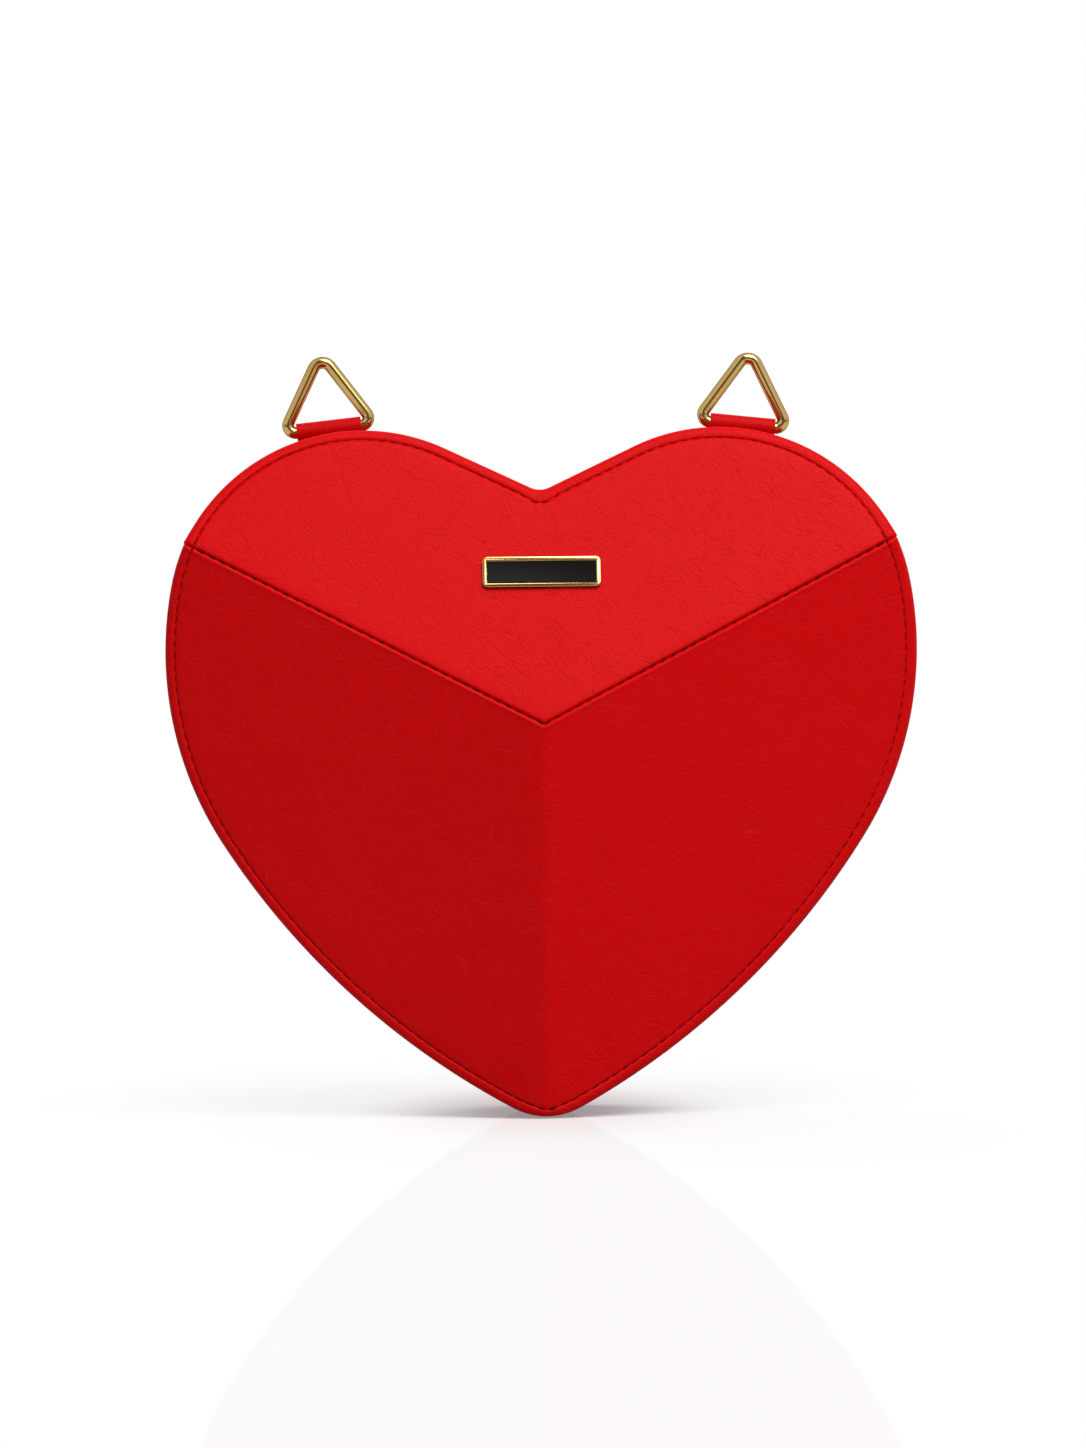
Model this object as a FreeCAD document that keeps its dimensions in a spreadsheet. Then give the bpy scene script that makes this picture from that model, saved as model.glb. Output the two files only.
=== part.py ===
import FreeCAD, Part
import functools
import math
import os
from FreeCAD import Placement, Rotation, Vector
from Sketcher import Constraint

# Heart shaped purse with a faceted front, a zipper round its side and two strap rings.
# Drawn with the tip at zero height and the back face at zero depth, x to the right, front towards minus y.
# The pieces are placed so that the origin lies midway between the two ring bars.
SIZES = {
    "lobe_x": 50.3,
    "lobe_z": 138.9,
    "lobe_radius": 54.6,
    "hip_radius": 97.8,
    "hip_angle": 12.0,
    "side_radius": 217.0,
    "tip_radius": 20.5,
    "cleft_z": 176.0,
    "cleft_radius": 6.0,
    "seam_x": 98.4,
    "seam_z": 161.0,
    "apex_z": 110.0,
    "apex_rise": 18.0,
    "rim_depth": 62.0,
    "leather": 1.2,
    "board": 2.0,
    "edge_round": 1.0,
    "ridge_gap": 1.0,
    "lining": 0.8,
    "overhang": 3.0,
    "gusset_leather": 1.4,
    "base_half": 27.0,
    "seam_gap": 0.2,
    "zipper_y": 25.0,
    "window": 11.0,
    "tape_width": 12.0,
    "tape_thick": 0.6,
    "tooth_pitch": 3.0,
    "tooth_length": 2.6,
    "tooth_width": 1.3,
    "tooth_thick": 2.2,
    "tooth_gap": 0.45,
    "stop_length": 3.2,
    "stop_clear": 0.4,
    "pocket_width": 104.0,
    "pocket_height": 62.0,
    "pocket_bottom": 62.0,
    "pocket_corner": 12.0,
    "tab_width": 18.8,
    "tab_leather": 0.9,
    "tab_lean": 9.6,
    "tab_tilt": 6.0,
    "bar_rise": 3.6,
    "wire_radius": 1.7,
    "run_clear": 0.08,
    "ring_half": 9.5,
    "ring_corner": 2.2,
    "ring_apex": 2.9,
    "ring_height": 19.4,
    "notch_clear": 0.3,
    "badge_width": 33.0,
    "badge_height": 9.0,
    "badge_thick": 1.4,
    "badge_rim": 1.0,
    "badge_sink": 0.5,
    "badge_corner": 1.4,
    "badge_z": 152.3,
    "prong_x": 11.0,
    "prong_width": 3.0,
    "prong_thick": 0.8,
    "prong_clear": 0.2,
    "washer_thick": 0.8,
    "washer_inset": 1.1,
    "washer_clear": 0.1,
    "slider_length": 12.0,
    "slider_width": 9.0,
    "slider_plate": 1.2,
    "slider_gap": 3.4,
    "post_thick": 0.5,
    "post_length": 3.0,
    "bail_length": 8.4,
    "bail_width": 2.4,
    "bail_bar": 1.0,
    "bail_space": 2.6,
    "bail_root": 0.2,
    "pull_pin": 0.7,
    "pull_shift": 2.2,
    "pull_eye": 3.4,
    "pull_side": 0.5,
    "pull_width": 8.0,
    "pull_length": 13.6,
    "pull_taper": 1.0,
    "upper_angle": 21.5,
    "lower_angle": 6.5,
    "upper_tilt": 7.0,
    "lower_tilt": 6.5,
}

doc = FreeCAD.newDocument("HeartPurse")
sheet = doc.addObject("Spreadsheet::Sheet", "Sizes")
for row, (alias, size) in enumerate(SIZES.items(), start=1):
    sheet.set(f"A{row}", alias)
    sheet.set(f"B{row}", str(size))
    sheet.setAlias(f"B{row}", alias)
doc.recompute()

# Sums that several pieces share, as expressions on the sheet.
LID = "(Sizes.leather + Sizes.board)"
GUSSET_INSIDE = "(Sizes.overhang + Sizes.gusset_leather)"
TAPE_INSIDE = "(Sizes.overhang + Sizes.gusset_leather + Sizes.tape_thick)"
LINING_INSIDE = "(Sizes.overhang + Sizes.gusset_leather + Sizes.tape_thick + Sizes.lining)"
TAPE_MIDDLE = "(Sizes.overhang + Sizes.gusset_leather + Sizes.tape_thick / 2)"
FRONT_END = "(Sizes.rim_depth + Sizes.apex_rise + 5)"
BACK_EDGE = "(Sizes.zipper_y - Sizes.window / 2)"
FRONT_EDGE = "(Sizes.zipper_y + Sizes.window / 2)"
HIP_REACH = "(Sizes.hip_radius - Sizes.lobe_radius)"
BAR_REACH = "(Sizes.lobe_radius + Sizes.bar_rise)"
MOVE_Y = f"({LID} + Sizes.tab_leather)"
MOVE_Z = f"(-Sizes.lobe_z - {BAR_REACH} * cos(Sizes.tab_lean))"
BAR_X = f"(Sizes.lobe_x + {BAR_REACH} * sin(Sizes.tab_lean))"
FACET_TILT = "atan(Sizes.apex_rise / (Sizes.seam_z - Sizes.apex_z))"

nodes = []


def value(expression):
    result = sheet.evalExpression(expression.replace("Sizes.", ""))
    return float(getattr(result, "Value", result))


def circle_meeting(first, first_reach, second, second_reach):
    """The left of the two points at the given distances from two centres."""
    span = second - first
    along = (first_reach ** 2 - second_reach ** 2 + span.Length ** 2) / (2 * span.Length)
    across = math.sqrt(first_reach ** 2 - along ** 2)
    unit = span / span.Length
    side = Vector(-unit.y, unit.x, 0)
    points = [first + unit * along + side * across, first + unit * along - side * across]
    return min(points, key=lambda point: point.x)


def right_arcs(inset):
    """Arcs of the right half from the tip to the slope: centre, radius, start and end angle in degrees."""
    lobe = Vector(value("Sizes.lobe_x"), value("Sizes.lobe_z"), 0)
    hip_angle = math.radians(value("Sizes.hip_angle"))
    reach = value(HIP_REACH)
    hip = lobe - Vector(math.cos(hip_angle), math.sin(hip_angle), 0) * reach
    tip = Vector(0, value("Sizes.tip_radius"), 0)
    side_radius = value("Sizes.side_radius")
    side = circle_meeting(hip, side_radius - value("Sizes.hip_radius"), tip, side_radius - tip.y)
    cleft = Vector(0, value("Sizes.cleft_z + Sizes.cleft_radius"), 0)
    span = cleft - lobe
    touch = value("Sizes.lobe_radius + Sizes.cleft_radius")
    slope = math.degrees(math.atan2(span.y, span.x) - math.acos(touch / span.Length))
    tip_angle = math.degrees(math.atan2((tip - side).y, (tip - side).x))
    low_angle = math.degrees(math.atan2((hip - side).y, (hip - side).x))
    arcs = [
        (side, side_radius - inset, tip_angle, low_angle),
        (hip, value("Sizes.hip_radius") - inset, low_angle, value("Sizes.hip_angle")),
        (lobe, value("Sizes.lobe_radius") - inset, value("Sizes.hip_angle"), slope),
    ]
    return arcs, tip, tip_angle, cleft, slope


def polar(centre, radius, degrees):
    angle = math.radians(degrees)
    return centre + Vector(math.cos(angle), math.sin(angle), 0) * radius


def arc(centre, radius, start, end):
    circle = Part.Circle(centre, Vector(0, 0, 1), radius)
    return Part.ArcOfCircle(circle, math.radians(start), math.radians(end))


def draw_heart(sketch, inset):
    """One closed heart outline, set in from the outer edge; the arcs keep their centres."""
    gap = value(inset)
    arcs, tip, tip_angle, cleft, slope = right_arcs(gap)
    cleft_radius = value("Sizes.cleft_radius") + gap
    tip_id = sketch.addGeometry(arc(tip, tip.y - gap, 180 - tip_angle - 360, tip_angle), False)
    right = [sketch.addGeometry(arc(*each), False) for each in arcs]
    lobe, lobe_radius = arcs[2][0], arcs[2][1]
    line = Part.LineSegment(polar(lobe, lobe_radius, slope), polar(cleft, cleft_radius, slope + 180))
    right.append(sketch.addGeometry(line, False))
    cleft_id = sketch.addGeometry(arc(cleft, cleft_radius, -slope, slope - 180), False)
    left = []
    for centre, radius, start, end in arcs:
        mirrored = Vector(-centre.x, centre.y, 0)
        left.append(sketch.addGeometry(arc(mirrored, radius, 180 - end, 180 - start), False))
    ends = [Vector(-point.x, point.y, 0) for point in (line.EndPoint, line.StartPoint)]
    left.append(sketch.addGeometry(Part.LineSegment(*ends), False))
    joins = [(tip_id, 2, right[0], 1), (right[0], 2, right[1], 1), (right[1], 2, right[2], 1),
             (right[2], 2, right[3], 1), (right[3], 2, cleft_id, 2), (cleft_id, 1, left[3], 1),
             (left[3], 2, left[2], 1), (left[2], 2, left[1], 1), (left[1], 2, left[0], 1),
             (left[0], 2, tip_id, 1)]
    for join in joins:
        sketch.addConstraint(Constraint("Tangent", *join))
    sketch.addConstraint(Constraint("PointOnObject", tip_id, 3, -2))
    sketch.addConstraint(Constraint("PointOnObject", cleft_id, 3, -2))
    for first, second in zip(right[:3], left[:3]):
        sketch.addConstraint(Constraint("Equal", first, second))
    driven = [
        (("DistanceY", -1, 1, tip_id, 3), "Sizes.tip_radius"),
        (("Radius", tip_id), f"Sizes.tip_radius - {inset}"),
        (("DistanceX", -1, 1, right[2], 3), "Sizes.lobe_x"),
        (("DistanceX", left[2], 3, -1, 1), "Sizes.lobe_x"),
        (("DistanceY", -1, 1, right[2], 3), "Sizes.lobe_z"),
        (("DistanceY", -1, 1, left[2], 3), "Sizes.lobe_z"),
        (("Radius", right[2]), f"Sizes.lobe_radius - {inset}"),
        (("Radius", right[1]), f"Sizes.hip_radius - {inset}"),
        (("DistanceX", right[1], 3, right[2], 3), f"{HIP_REACH} * cos(Sizes.hip_angle)"),
        (("DistanceX", left[2], 3, left[1], 3), f"{HIP_REACH} * cos(Sizes.hip_angle)"),
        (("Radius", right[0]), f"Sizes.side_radius - {inset}"),
        (("DistanceY", -1, 1, cleft_id, 3), "Sizes.cleft_z + Sizes.cleft_radius"),
        (("Radius", cleft_id), f"Sizes.cleft_radius + {inset}"),
    ]
    drive(sketch, driven)


def drive(sketch, driven):
    """Dimensions of a sketch, each bound to its expression."""
    for parts, expression in driven:
        index = sketch.addConstraint(Constraint(*parts, value(expression)))
        name = f"size{index}"
        sketch.renameConstraint(index, name)
        sketch.setExpression(f"Constraints.{name}", expression)


def new_body(name):
    return doc.addObject("PartDesign::Body", name)


def new_sketch(body, name, role="XZ_Plane", offset=None):
    """Sketch on one of its body's origin planes, moved along the plane's normal by an expression."""
    sketch = body.newObject("Sketcher::SketchObject", name)
    plane = [item for item in body.Origin.OriginFeatures if item.Role == role][0]
    sketch.AttachmentSupport = [(plane, "")]
    sketch.MapMode = "FlatFace"
    if offset:
        sketch.setExpression("AttachmentOffset.Base.z", offset)
    return sketch


def pad(body, sketch, length, name, midplane=False):
    feature = body.newObject("PartDesign::Pad", name)
    feature.Profile = sketch
    feature.setExpression("Length", length)
    feature.SideType = "Symmetric" if midplane else "One side"
    body.Tip = feature
    return feature


def heart_pad(name, insets, start, end):
    """Heart shaped slab, or a ring when two insets are given, between two depths from the back face."""
    body = new_body(name)
    sketch = new_sketch(body, f"{name}_sketch", offset=start)
    for inset in insets:
        draw_heart(sketch, inset)
    pad(body, sketch, f"({end}) - ({start})", f"{name}_pad")
    return body


def sketch_line(sketch, start, end):
    return sketch.addGeometry(Part.LineSegment(start, end), False)


def sketch_circle(sketch, radius):
    """Circle about the sketch's origin."""
    circle = sketch.addGeometry(Part.Circle(Vector(), Vector(0, 0, 1), value(radius)), False)
    sketch.addConstraint(Constraint("Coincident", circle, 3, -1, 1))
    drive(sketch, [(("Radius", circle), radius)])


def rectangle(sketch, x_start, x_end, y_start, y_end):
    """Rectangle between four expressions."""
    left, right, low, high = (value(each) for each in (x_start, x_end, y_start, y_end))
    corners = [Vector(left, low, 0), Vector(right, low, 0), Vector(right, high, 0), Vector(left, high, 0)]
    lines = [sketch_line(sketch, corners[i], corners[(i + 1) % 4]) for i in range(4)]
    for i in range(4):
        sketch.addConstraint(Constraint("Coincident", lines[i], 2, lines[(i + 1) % 4], 1))
    for i, kind in enumerate(("Horizontal", "Vertical", "Horizontal", "Vertical")):
        sketch.addConstraint(Constraint(kind, lines[i]))
    driven = [
        (("DistanceX", -1, 1, lines[0], 1), x_start),
        (("DistanceY", -1, 1, lines[0], 1), y_start),
        (("DistanceX", -1, 1, lines[1], 2), x_end),
        (("DistanceY", -1, 1, lines[1], 2), y_end),
    ]
    drive(sketch, driven)
    return lines


def polygon(sketch, points):
    """Closed polygon through points given as pairs of expressions."""
    spots = [Vector(value(x), value(y), 0) for x, y in points]
    count = len(spots)
    lines = [sketch_line(sketch, spots[i], spots[(i + 1) % count]) for i in range(count)]
    for i in range(count):
        sketch.addConstraint(Constraint("Coincident", lines[i], 2, lines[(i + 1) % count], 1))
    driven = []
    for line, (x, y) in zip(lines, points):
        driven.append((("DistanceX", -1, 1, line, 1), x))
        driven.append((("DistanceY", -1, 1, line, 1), y))
    drive(sketch, driven)


def block(name, x_start, x_end, y_start, y_end, z_start, z_end):
    """Box between six expressions."""
    box = doc.addObject("Part::Box", name)
    for axis, size, start, end in (("x", "Length", x_start, x_end), ("y", "Width", y_start, y_end),
                                   ("z", "Height", z_start, z_end)):
        box.setExpression(size, f"({end}) - ({start})")
        box.setExpression(f"Placement.Base.{axis}", start)
    return box


def cut(name, base, tool):
    feature = doc.addObject("Part::Cut", name)
    feature.Base = base
    feature.Tool = tool
    return feature


def common(name, base, tool):
    feature = doc.addObject("Part::Common", name)
    feature.Base = base
    feature.Tool = tool
    return feature


def fuse(name, shapes):
    feature = doc.addObject("Part::MultiFuse", name)
    feature.Shapes = shapes
    return feature


def rounded_rim(name, base):
    """Rounds the outer edge of a leather panel all along the heart's outline, but not along the V seam."""
    doc.recompute()
    radius = value("Sizes.edge_round")
    chosen = []
    for index, edge in enumerate(base.Shape.Edges, start=1):
        faces = base.Shape.ancestorsOfType(edge, Part.Face)
        middle = edge.valueAt((edge.FirstParameter + edge.LastParameter) / 2)
        normals = []
        for face in faces:
            u, v = face.Surface.parameter(middle)
            normals.append(face.normalAt(u, v).y)
        seam = value("Sizes.apex_z") + abs(middle.x) * value("(Sizes.seam_z - Sizes.apex_z) / Sizes.seam_x")
        on_seam = middle.y < -value("Sizes.rim_depth") / 2 and abs(middle.z - seam) < 0.05
        outside = outer_wire.distToShape(Part.Vertex(Vector(middle.x, 0, middle.z)))[0] < 0.01
        turned = max(abs(normal) for normal in normals) > 0.5 and min(abs(normal) for normal in normals) < 0.1
        skin = min(normals) < -0.5 if middle.y < -value("Sizes.rim_depth") / 2 else max(normals) > 0.5
        if outside and turned and skin and not on_seam:
            chosen.append((index, radius, radius))
    feature = doc.addObject("Part::Fillet", name)
    feature.Base = base
    feature.Edges = chosen
    return feature


def node(name, feature):
    """Names a finished piece and moves it from the drawing to its place about the ring bars."""
    feature.Label = name
    feature.setExpression("Placement.Base.y", MOVE_Y)
    feature.setExpression("Placement.Base.z", MOVE_Z)
    nodes.append(feature)
    return feature


def pyramid(name, depth):
    """The space behind the three facets of the front, moved back by a depth."""
    reach = 5
    apex = doc.addObject("Part::Vertex", f"{name}_apex")
    apex.setExpression("Z", "Sizes.apex_z")
    apex.setExpression("Y", f"-Sizes.rim_depth - Sizes.apex_rise + {depth}")
    body = new_body(f"{name}_body")
    level = f"Sizes.rim_depth + Sizes.apex_rise * (1 - {reach}) - {depth}"
    base = new_sketch(body, f"{name}_base", offset=level)
    polygon(base, [
        (f"-{reach} * Sizes.seam_x", f"Sizes.apex_z + {reach} * (Sizes.seam_z - Sizes.apex_z)"),
        ("0", f"Sizes.apex_z - {reach} * Sizes.apex_z"),
        (f"{reach} * Sizes.seam_x", f"Sizes.apex_z + {reach} * (Sizes.seam_z - Sizes.apex_z)"),
    ])
    loft = doc.addObject("Part::Loft", name)
    loft.Sections = [apex, base]
    loft.Solid = True
    loft.Ruled = True
    return loft


def below_seam(name, lift):
    """Everything below the V seam seen from the front, with the seam moved up by a lift."""
    body = new_body(name)
    sketch = new_sketch(body, f"{name}_sketch")
    polygon(sketch, [
        ("0", f"Sizes.apex_z + {lift}"),
        ("2 * Sizes.seam_x", f"2 * Sizes.seam_z - Sizes.apex_z + {lift}"),
        ("2 * Sizes.seam_x", "-Sizes.apex_z"),
        ("-2 * Sizes.seam_x", "-Sizes.apex_z"),
        ("-2 * Sizes.seam_x", f"2 * Sizes.seam_z - Sizes.apex_z + {lift}"),
    ])
    pad(body, sketch, FRONT_END, f"{name}_pad")
    return body


# Space behind the front's skin, its boards and its lining.
outer_space = pyramid("outer_space", "0")
board_space = pyramid("board_space", "Sizes.leather")
lining_space = pyramid("lining_space", LID)
inner_space = pyramid("inner_space", f"({LID} + Sizes.lining)")

# Front: leather folded round stiff boards, one above the V seam and two below it.
SEAM_LIFT = "Sizes.leather * 1.2"
low_zone = below_seam("low_zone", "0")
low_zone_high = below_seam("low_zone_high", SEAM_LIFT)
low_zone_low = below_seam("low_zone_low", f"(-{SEAM_LIFT})")
lid_slab = heart_pad("lid_slab", ["0"], "0", FRONT_END)
core_slab = heart_pad("core_slab", ["Sizes.leather"], "0", FRONT_END)
doc.recompute()
outer_wire = lid_slab.Shape.slice(Vector(0, 1, 0), -1)[0].translated(Vector(0, 1, 0))
lid_layer = cut("lid_layer", outer_space, lining_space)
core_layer = cut("core_layer", board_space, lining_space)
front_lid = common("front_lid", lid_slab, lid_layer)
front_core = common("front_core", core_slab, core_layer)

upper_lid = cut("upper_lid", front_lid, low_zone)
lower_lid = common("lower_lid", front_lid, low_zone)
upper_core = cut("upper_core", front_core, low_zone_high)
lower_core = common("lower_core", front_core, low_zone_low)
lower_panel = cut("lower_panel", lower_lid, lower_core)
left_half = block("left_half", "-2 * Sizes.seam_x", "-Sizes.ridge_gap / 2", f"-{FRONT_END}", "0",
                  "-Sizes.apex_z", "2 * Sizes.seam_z")
right_half = block("right_half", "Sizes.ridge_gap / 2", "2 * Sizes.seam_x", f"-{FRONT_END}", "0",
                   "-Sizes.apex_z", "2 * Sizes.seam_z")
left_board = common("left_board", lower_core, left_half)
right_board = common("right_board", lower_core, right_half)

# Badge: a blank plate with two prongs, closed on a washer that is let into the upper board.
BADGE_Y = f"(-Sizes.rim_depth - (Sizes.seam_z - Sizes.badge_z) * tan({FACET_TILT}))"
LID_NORMAL = f"({LID} * cos({FACET_TILT}))"
WASHER_X = "(Sizes.badge_width / 2 - Sizes.washer_inset)"
WASHER_Z = "(Sizes.badge_height / 2 - Sizes.washer_inset)"


def on_facet(feature):
    """Places a piece drawn in the facet's own frame on the upper facet of the drawing."""
    feature.Placement = Placement(Vector(), Rotation(Vector(1, 0, 0), -1))
    feature.setExpression("Placement.Base.y", BADGE_Y)
    feature.setExpression("Placement.Base.z", "Sizes.badge_z")
    feature.setExpression("Placement.Rotation.Angle", FACET_TILT)
    feature.setExpression("Placement.Rotation.Axis.x", "-1")
    return feature


def prong_holes(name, clear, start, end):
    """Two slots through the front at the badge's prongs."""
    body = new_body(name)
    sketch = new_sketch(body, f"{name}_sketch", offset=f"-({end})")
    for side in (-1, 1):
        rectangle(sketch, f"{side} * Sizes.prong_x - Sizes.prong_width / 2 - {clear}",
                  f"{side} * Sizes.prong_x + Sizes.prong_width / 2 + {clear}",
                  f"-Sizes.prong_thick / 2 - {clear}", f"Sizes.prong_thick / 2 + {clear}")
    pad(body, sketch, f"({end}) - ({start})", f"{name}_pad")
    return body


holes = on_facet(prong_holes("holes", "Sizes.prong_clear", "-Sizes.leather", f"{LID_NORMAL} + Sizes.board"))
washer_seat = new_body("washer_seat")
seat_sketch = new_sketch(washer_seat, "washer_seat_sketch", offset=f"-{LID_NORMAL} - Sizes.lining")
rectangle(seat_sketch, f"-{WASHER_X} - Sizes.washer_clear", f"{WASHER_X} + Sizes.washer_clear",
          f"-{WASHER_Z} - Sizes.washer_clear", f"{WASHER_Z} + Sizes.washer_clear")
pad(washer_seat, seat_sketch, "Sizes.lining + Sizes.washer_thick + Sizes.washer_clear", "washer_seat_pad")
on_facet(washer_seat)
upper_core_bored = cut("upper_core_bored", upper_core, holes)
upper_board = cut("upper_board", upper_core_bored, washer_seat)
upper_tray = cut("upper_tray", upper_lid, upper_core)
upper_panel = cut("upper_panel", upper_tray, holes)

badge = new_body("badge")
badge_sketch = new_sketch(badge, "badge_sketch")
rectangle(badge_sketch, "-Sizes.badge_width / 2", "Sizes.badge_width / 2",
          "-Sizes.badge_height / 2", "Sizes.badge_height / 2")
badge_pad = pad(badge, badge_sketch, "Sizes.badge_thick", "badge_pad")
doc.recompute()
upright = [f"Edge{i}" for i, edge in enumerate(badge_pad.Shape.Edges, start=1)
           if abs(edge.tangentAt(edge.FirstParameter).y) > 0.9]
badge_round = badge.newObject("PartDesign::Fillet", "badge_round")
badge_round.Base = (badge_pad, upright)
badge_round.setExpression("Radius", "Sizes.badge_corner")
badge.Tip = badge_round
field_sketch = new_sketch(badge, "field_sketch", offset="Sizes.badge_thick")
rectangle(field_sketch, "-Sizes.badge_width / 2 + Sizes.badge_rim", "Sizes.badge_width / 2 - Sizes.badge_rim",
          "-Sizes.badge_height / 2 + Sizes.badge_rim", "Sizes.badge_height / 2 - Sizes.badge_rim")
field = badge.newObject("PartDesign::Pocket", "badge_field")
field.Profile = field_sketch
field.setExpression("Length", "Sizes.badge_sink")
badge.Tip = field
prong_sketch = new_sketch(badge, "prong_sketch", offset=f"-{LID_NORMAL}")
for side in (-1, 1):
    rectangle(prong_sketch, f"{side} * Sizes.prong_x - Sizes.prong_width / 2",
              f"{side} * Sizes.prong_x + Sizes.prong_width / 2",
              "-Sizes.prong_thick / 2", "Sizes.prong_thick / 2")
pad(badge, prong_sketch, LID_NORMAL, "prong_pad")
badge_placed = on_facet(badge)

washer = new_body("washer")
washer_sketch = new_sketch(washer, "washer_sketch", offset=f"-{LID_NORMAL}")
rectangle(washer_sketch, f"-{WASHER_X}", WASHER_X, f"-{WASHER_Z}", WASHER_Z)
for side in (-1, 1):
    rectangle(washer_sketch, f"{side} * Sizes.prong_x - Sizes.prong_width / 2",
              f"{side} * Sizes.prong_x + Sizes.prong_width / 2",
              "-Sizes.prong_thick / 2", "Sizes.prong_thick / 2")
pad(washer, washer_sketch, "Sizes.washer_thick", "washer_pad")
washer_placed = on_facet(washer)

# Front lining and the front half of the gusset.
base_zone = block("base_zone", "-Sizes.base_half", "Sizes.base_half", f"-{FRONT_END}", "1",
                  "-1", "Sizes.apex_z")
base_zone_wide = block("base_zone_wide", "-Sizes.base_half - Sizes.seam_gap",
                       "Sizes.base_half + Sizes.seam_gap", f"-{FRONT_END}", "1", "-1", "Sizes.apex_z")
lining_layer = cut("lining_layer", lining_space, inner_space)
lining_slab = heart_pad("lining_slab", [LINING_INSIDE], "0", FRONT_END)
front_lining = common("front_lining_cut", lining_slab, lining_layer)


def front_ring(name, outer, inner):
    ring = heart_pad(f"{name}_ring", [outer, inner], FRONT_EDGE, FRONT_END)
    trimmed = common(f"{name}_trimmed", ring, lining_space)
    return cut(f"{name}_cut", trimmed, base_zone_wide)


def base_ring(name, outer, inner):
    ring = heart_pad(f"{name}_ring", [outer, inner], LID, FRONT_END)
    trimmed = common(f"{name}_trimmed", ring, lining_space)
    return common(f"{name}_cut", trimmed, base_zone)


front_gusset = front_ring("front_gusset", "Sizes.overhang", GUSSET_INSIDE)
front_gusset_lining = front_ring("front_gusset_lining", TAPE_INSIDE, LINING_INSIDE)
base_gusset = base_ring("base_gusset", "Sizes.overhang", GUSSET_INSIDE)
base_lining = base_ring("base_lining", TAPE_INSIDE, LINING_INSIDE)

# Back half: a flat panel of the same make, its gusset with a notch for each ring tab, and its lining.
back_lid = heart_pad("back_lid", ["0"], "0", LID)
back_core = heart_pad("back_core", ["Sizes.leather"], "Sizes.leather", LID)
back_tray = cut("back_tray", back_lid, back_core)
back_board = heart_pad("back_board", ["Sizes.leather"], "Sizes.leather", LID)
back_lining = heart_pad("back_lining", [LINING_INSIDE], LID, f"({LID} + Sizes.lining)")
back_ring = heart_pad("back_gusset_ring", ["Sizes.overhang", GUSSET_INSIDE], LID, BACK_EDGE)
back_strip = cut("back_strip", back_ring, base_zone_wide)
notches = []
for side, name in ((-1, "left"), (1, "right")):
    notch = doc.addObject("Part::Box", f"{name}_notch")
    notch.setExpression("Length", "Sizes.tab_width + 2 * Sizes.notch_clear")
    notch.setExpression("Width", "2 * Sizes.tab_leather + Sizes.notch_clear")
    notch.setExpression("Height", "Sizes.lobe_radius")
    shift = "(Sizes.tab_width / 2 + Sizes.notch_clear)"
    notch.Placement = Placement(Vector(), Rotation(Vector(0, 1, 0), side))
    notch.setExpression("Placement.Rotation.Angle", "Sizes.tab_tilt")
    notch.setExpression("Placement.Rotation.Axis.y", f"{side}")
    foot_x = f"({BAR_X} - Sizes.lobe_radius / 2 * sin(Sizes.tab_tilt))"
    foot_z = f"(-{MOVE_Z} - Sizes.lobe_radius / 2 * cos(Sizes.tab_tilt))"
    notch.setExpression("Placement.Base.x", f"{side} * {foot_x} - {shift} * cos(Sizes.tab_tilt)")
    notch.setExpression("Placement.Base.y", f"-{LID} - 2 * Sizes.tab_leather - Sizes.notch_clear")
    notch.setExpression("Placement.Base.z", f"{foot_z} + {side} * {shift} * sin(Sizes.tab_tilt)")
    notches.append(notch)
back_gusset = cut("back_gusset_cut", back_strip, fuse("notches", notches))
back_gusset_lining = cut("back_gusset_lining_cut",
                         heart_pad("back_gusset_lining_ring", [TAPE_INSIDE, LINING_INSIDE], LID, BACK_EDGE),
                         base_zone_wide)
pocket = new_body("pocket")
pocket_sketch = new_sketch(pocket, "pocket_sketch", offset=f"{LID} + Sizes.lining")
rectangle(pocket_sketch, "-Sizes.pocket_width / 2", "Sizes.pocket_width / 2",
          "Sizes.pocket_bottom", "Sizes.pocket_bottom + Sizes.pocket_height")
pocket_pad = pad(pocket, pocket_sketch, "Sizes.lining", "pocket_pad")
doc.recompute()
low_corners = [f"Edge{i}" for i, edge in enumerate(pocket_pad.Shape.Edges, start=1)
               if abs(edge.tangentAt(edge.FirstParameter).y) > 0.9
               and edge.CenterOfMass.z < value("Sizes.pocket_bottom + Sizes.pocket_height / 2")]
pocket_round = pocket.newObject("PartDesign::Fillet", "pocket_round")
pocket_round.Base = (pocket_pad, low_corners)
pocket_round.setExpression("Radius", "Sizes.pocket_corner")
pocket.Tip = pocket_round

# Zipper: two tapes under the gusset's edges, a row of teeth on each and a stop at each end.
TOOTH_ROOT = "(Sizes.tooth_gap + Sizes.tooth_length)"
tape_insets = [GUSSET_INSIDE, TAPE_INSIDE]
back_tape_ring = heart_pad("back_tape_ring", tape_insets, "Sizes.zipper_y - Sizes.tape_width",
                           f"Sizes.zipper_y - {TOOTH_ROOT}")
back_tape = cut("back_tape", back_tape_ring, base_zone_wide)
front_tape_ring = heart_pad("front_tape_ring", tape_insets, f"Sizes.zipper_y + {TOOTH_ROOT}",
                            "Sizes.zipper_y + Sizes.tape_width")
front_tape = cut("front_tape", front_tape_ring, base_zone_wide)


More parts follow.
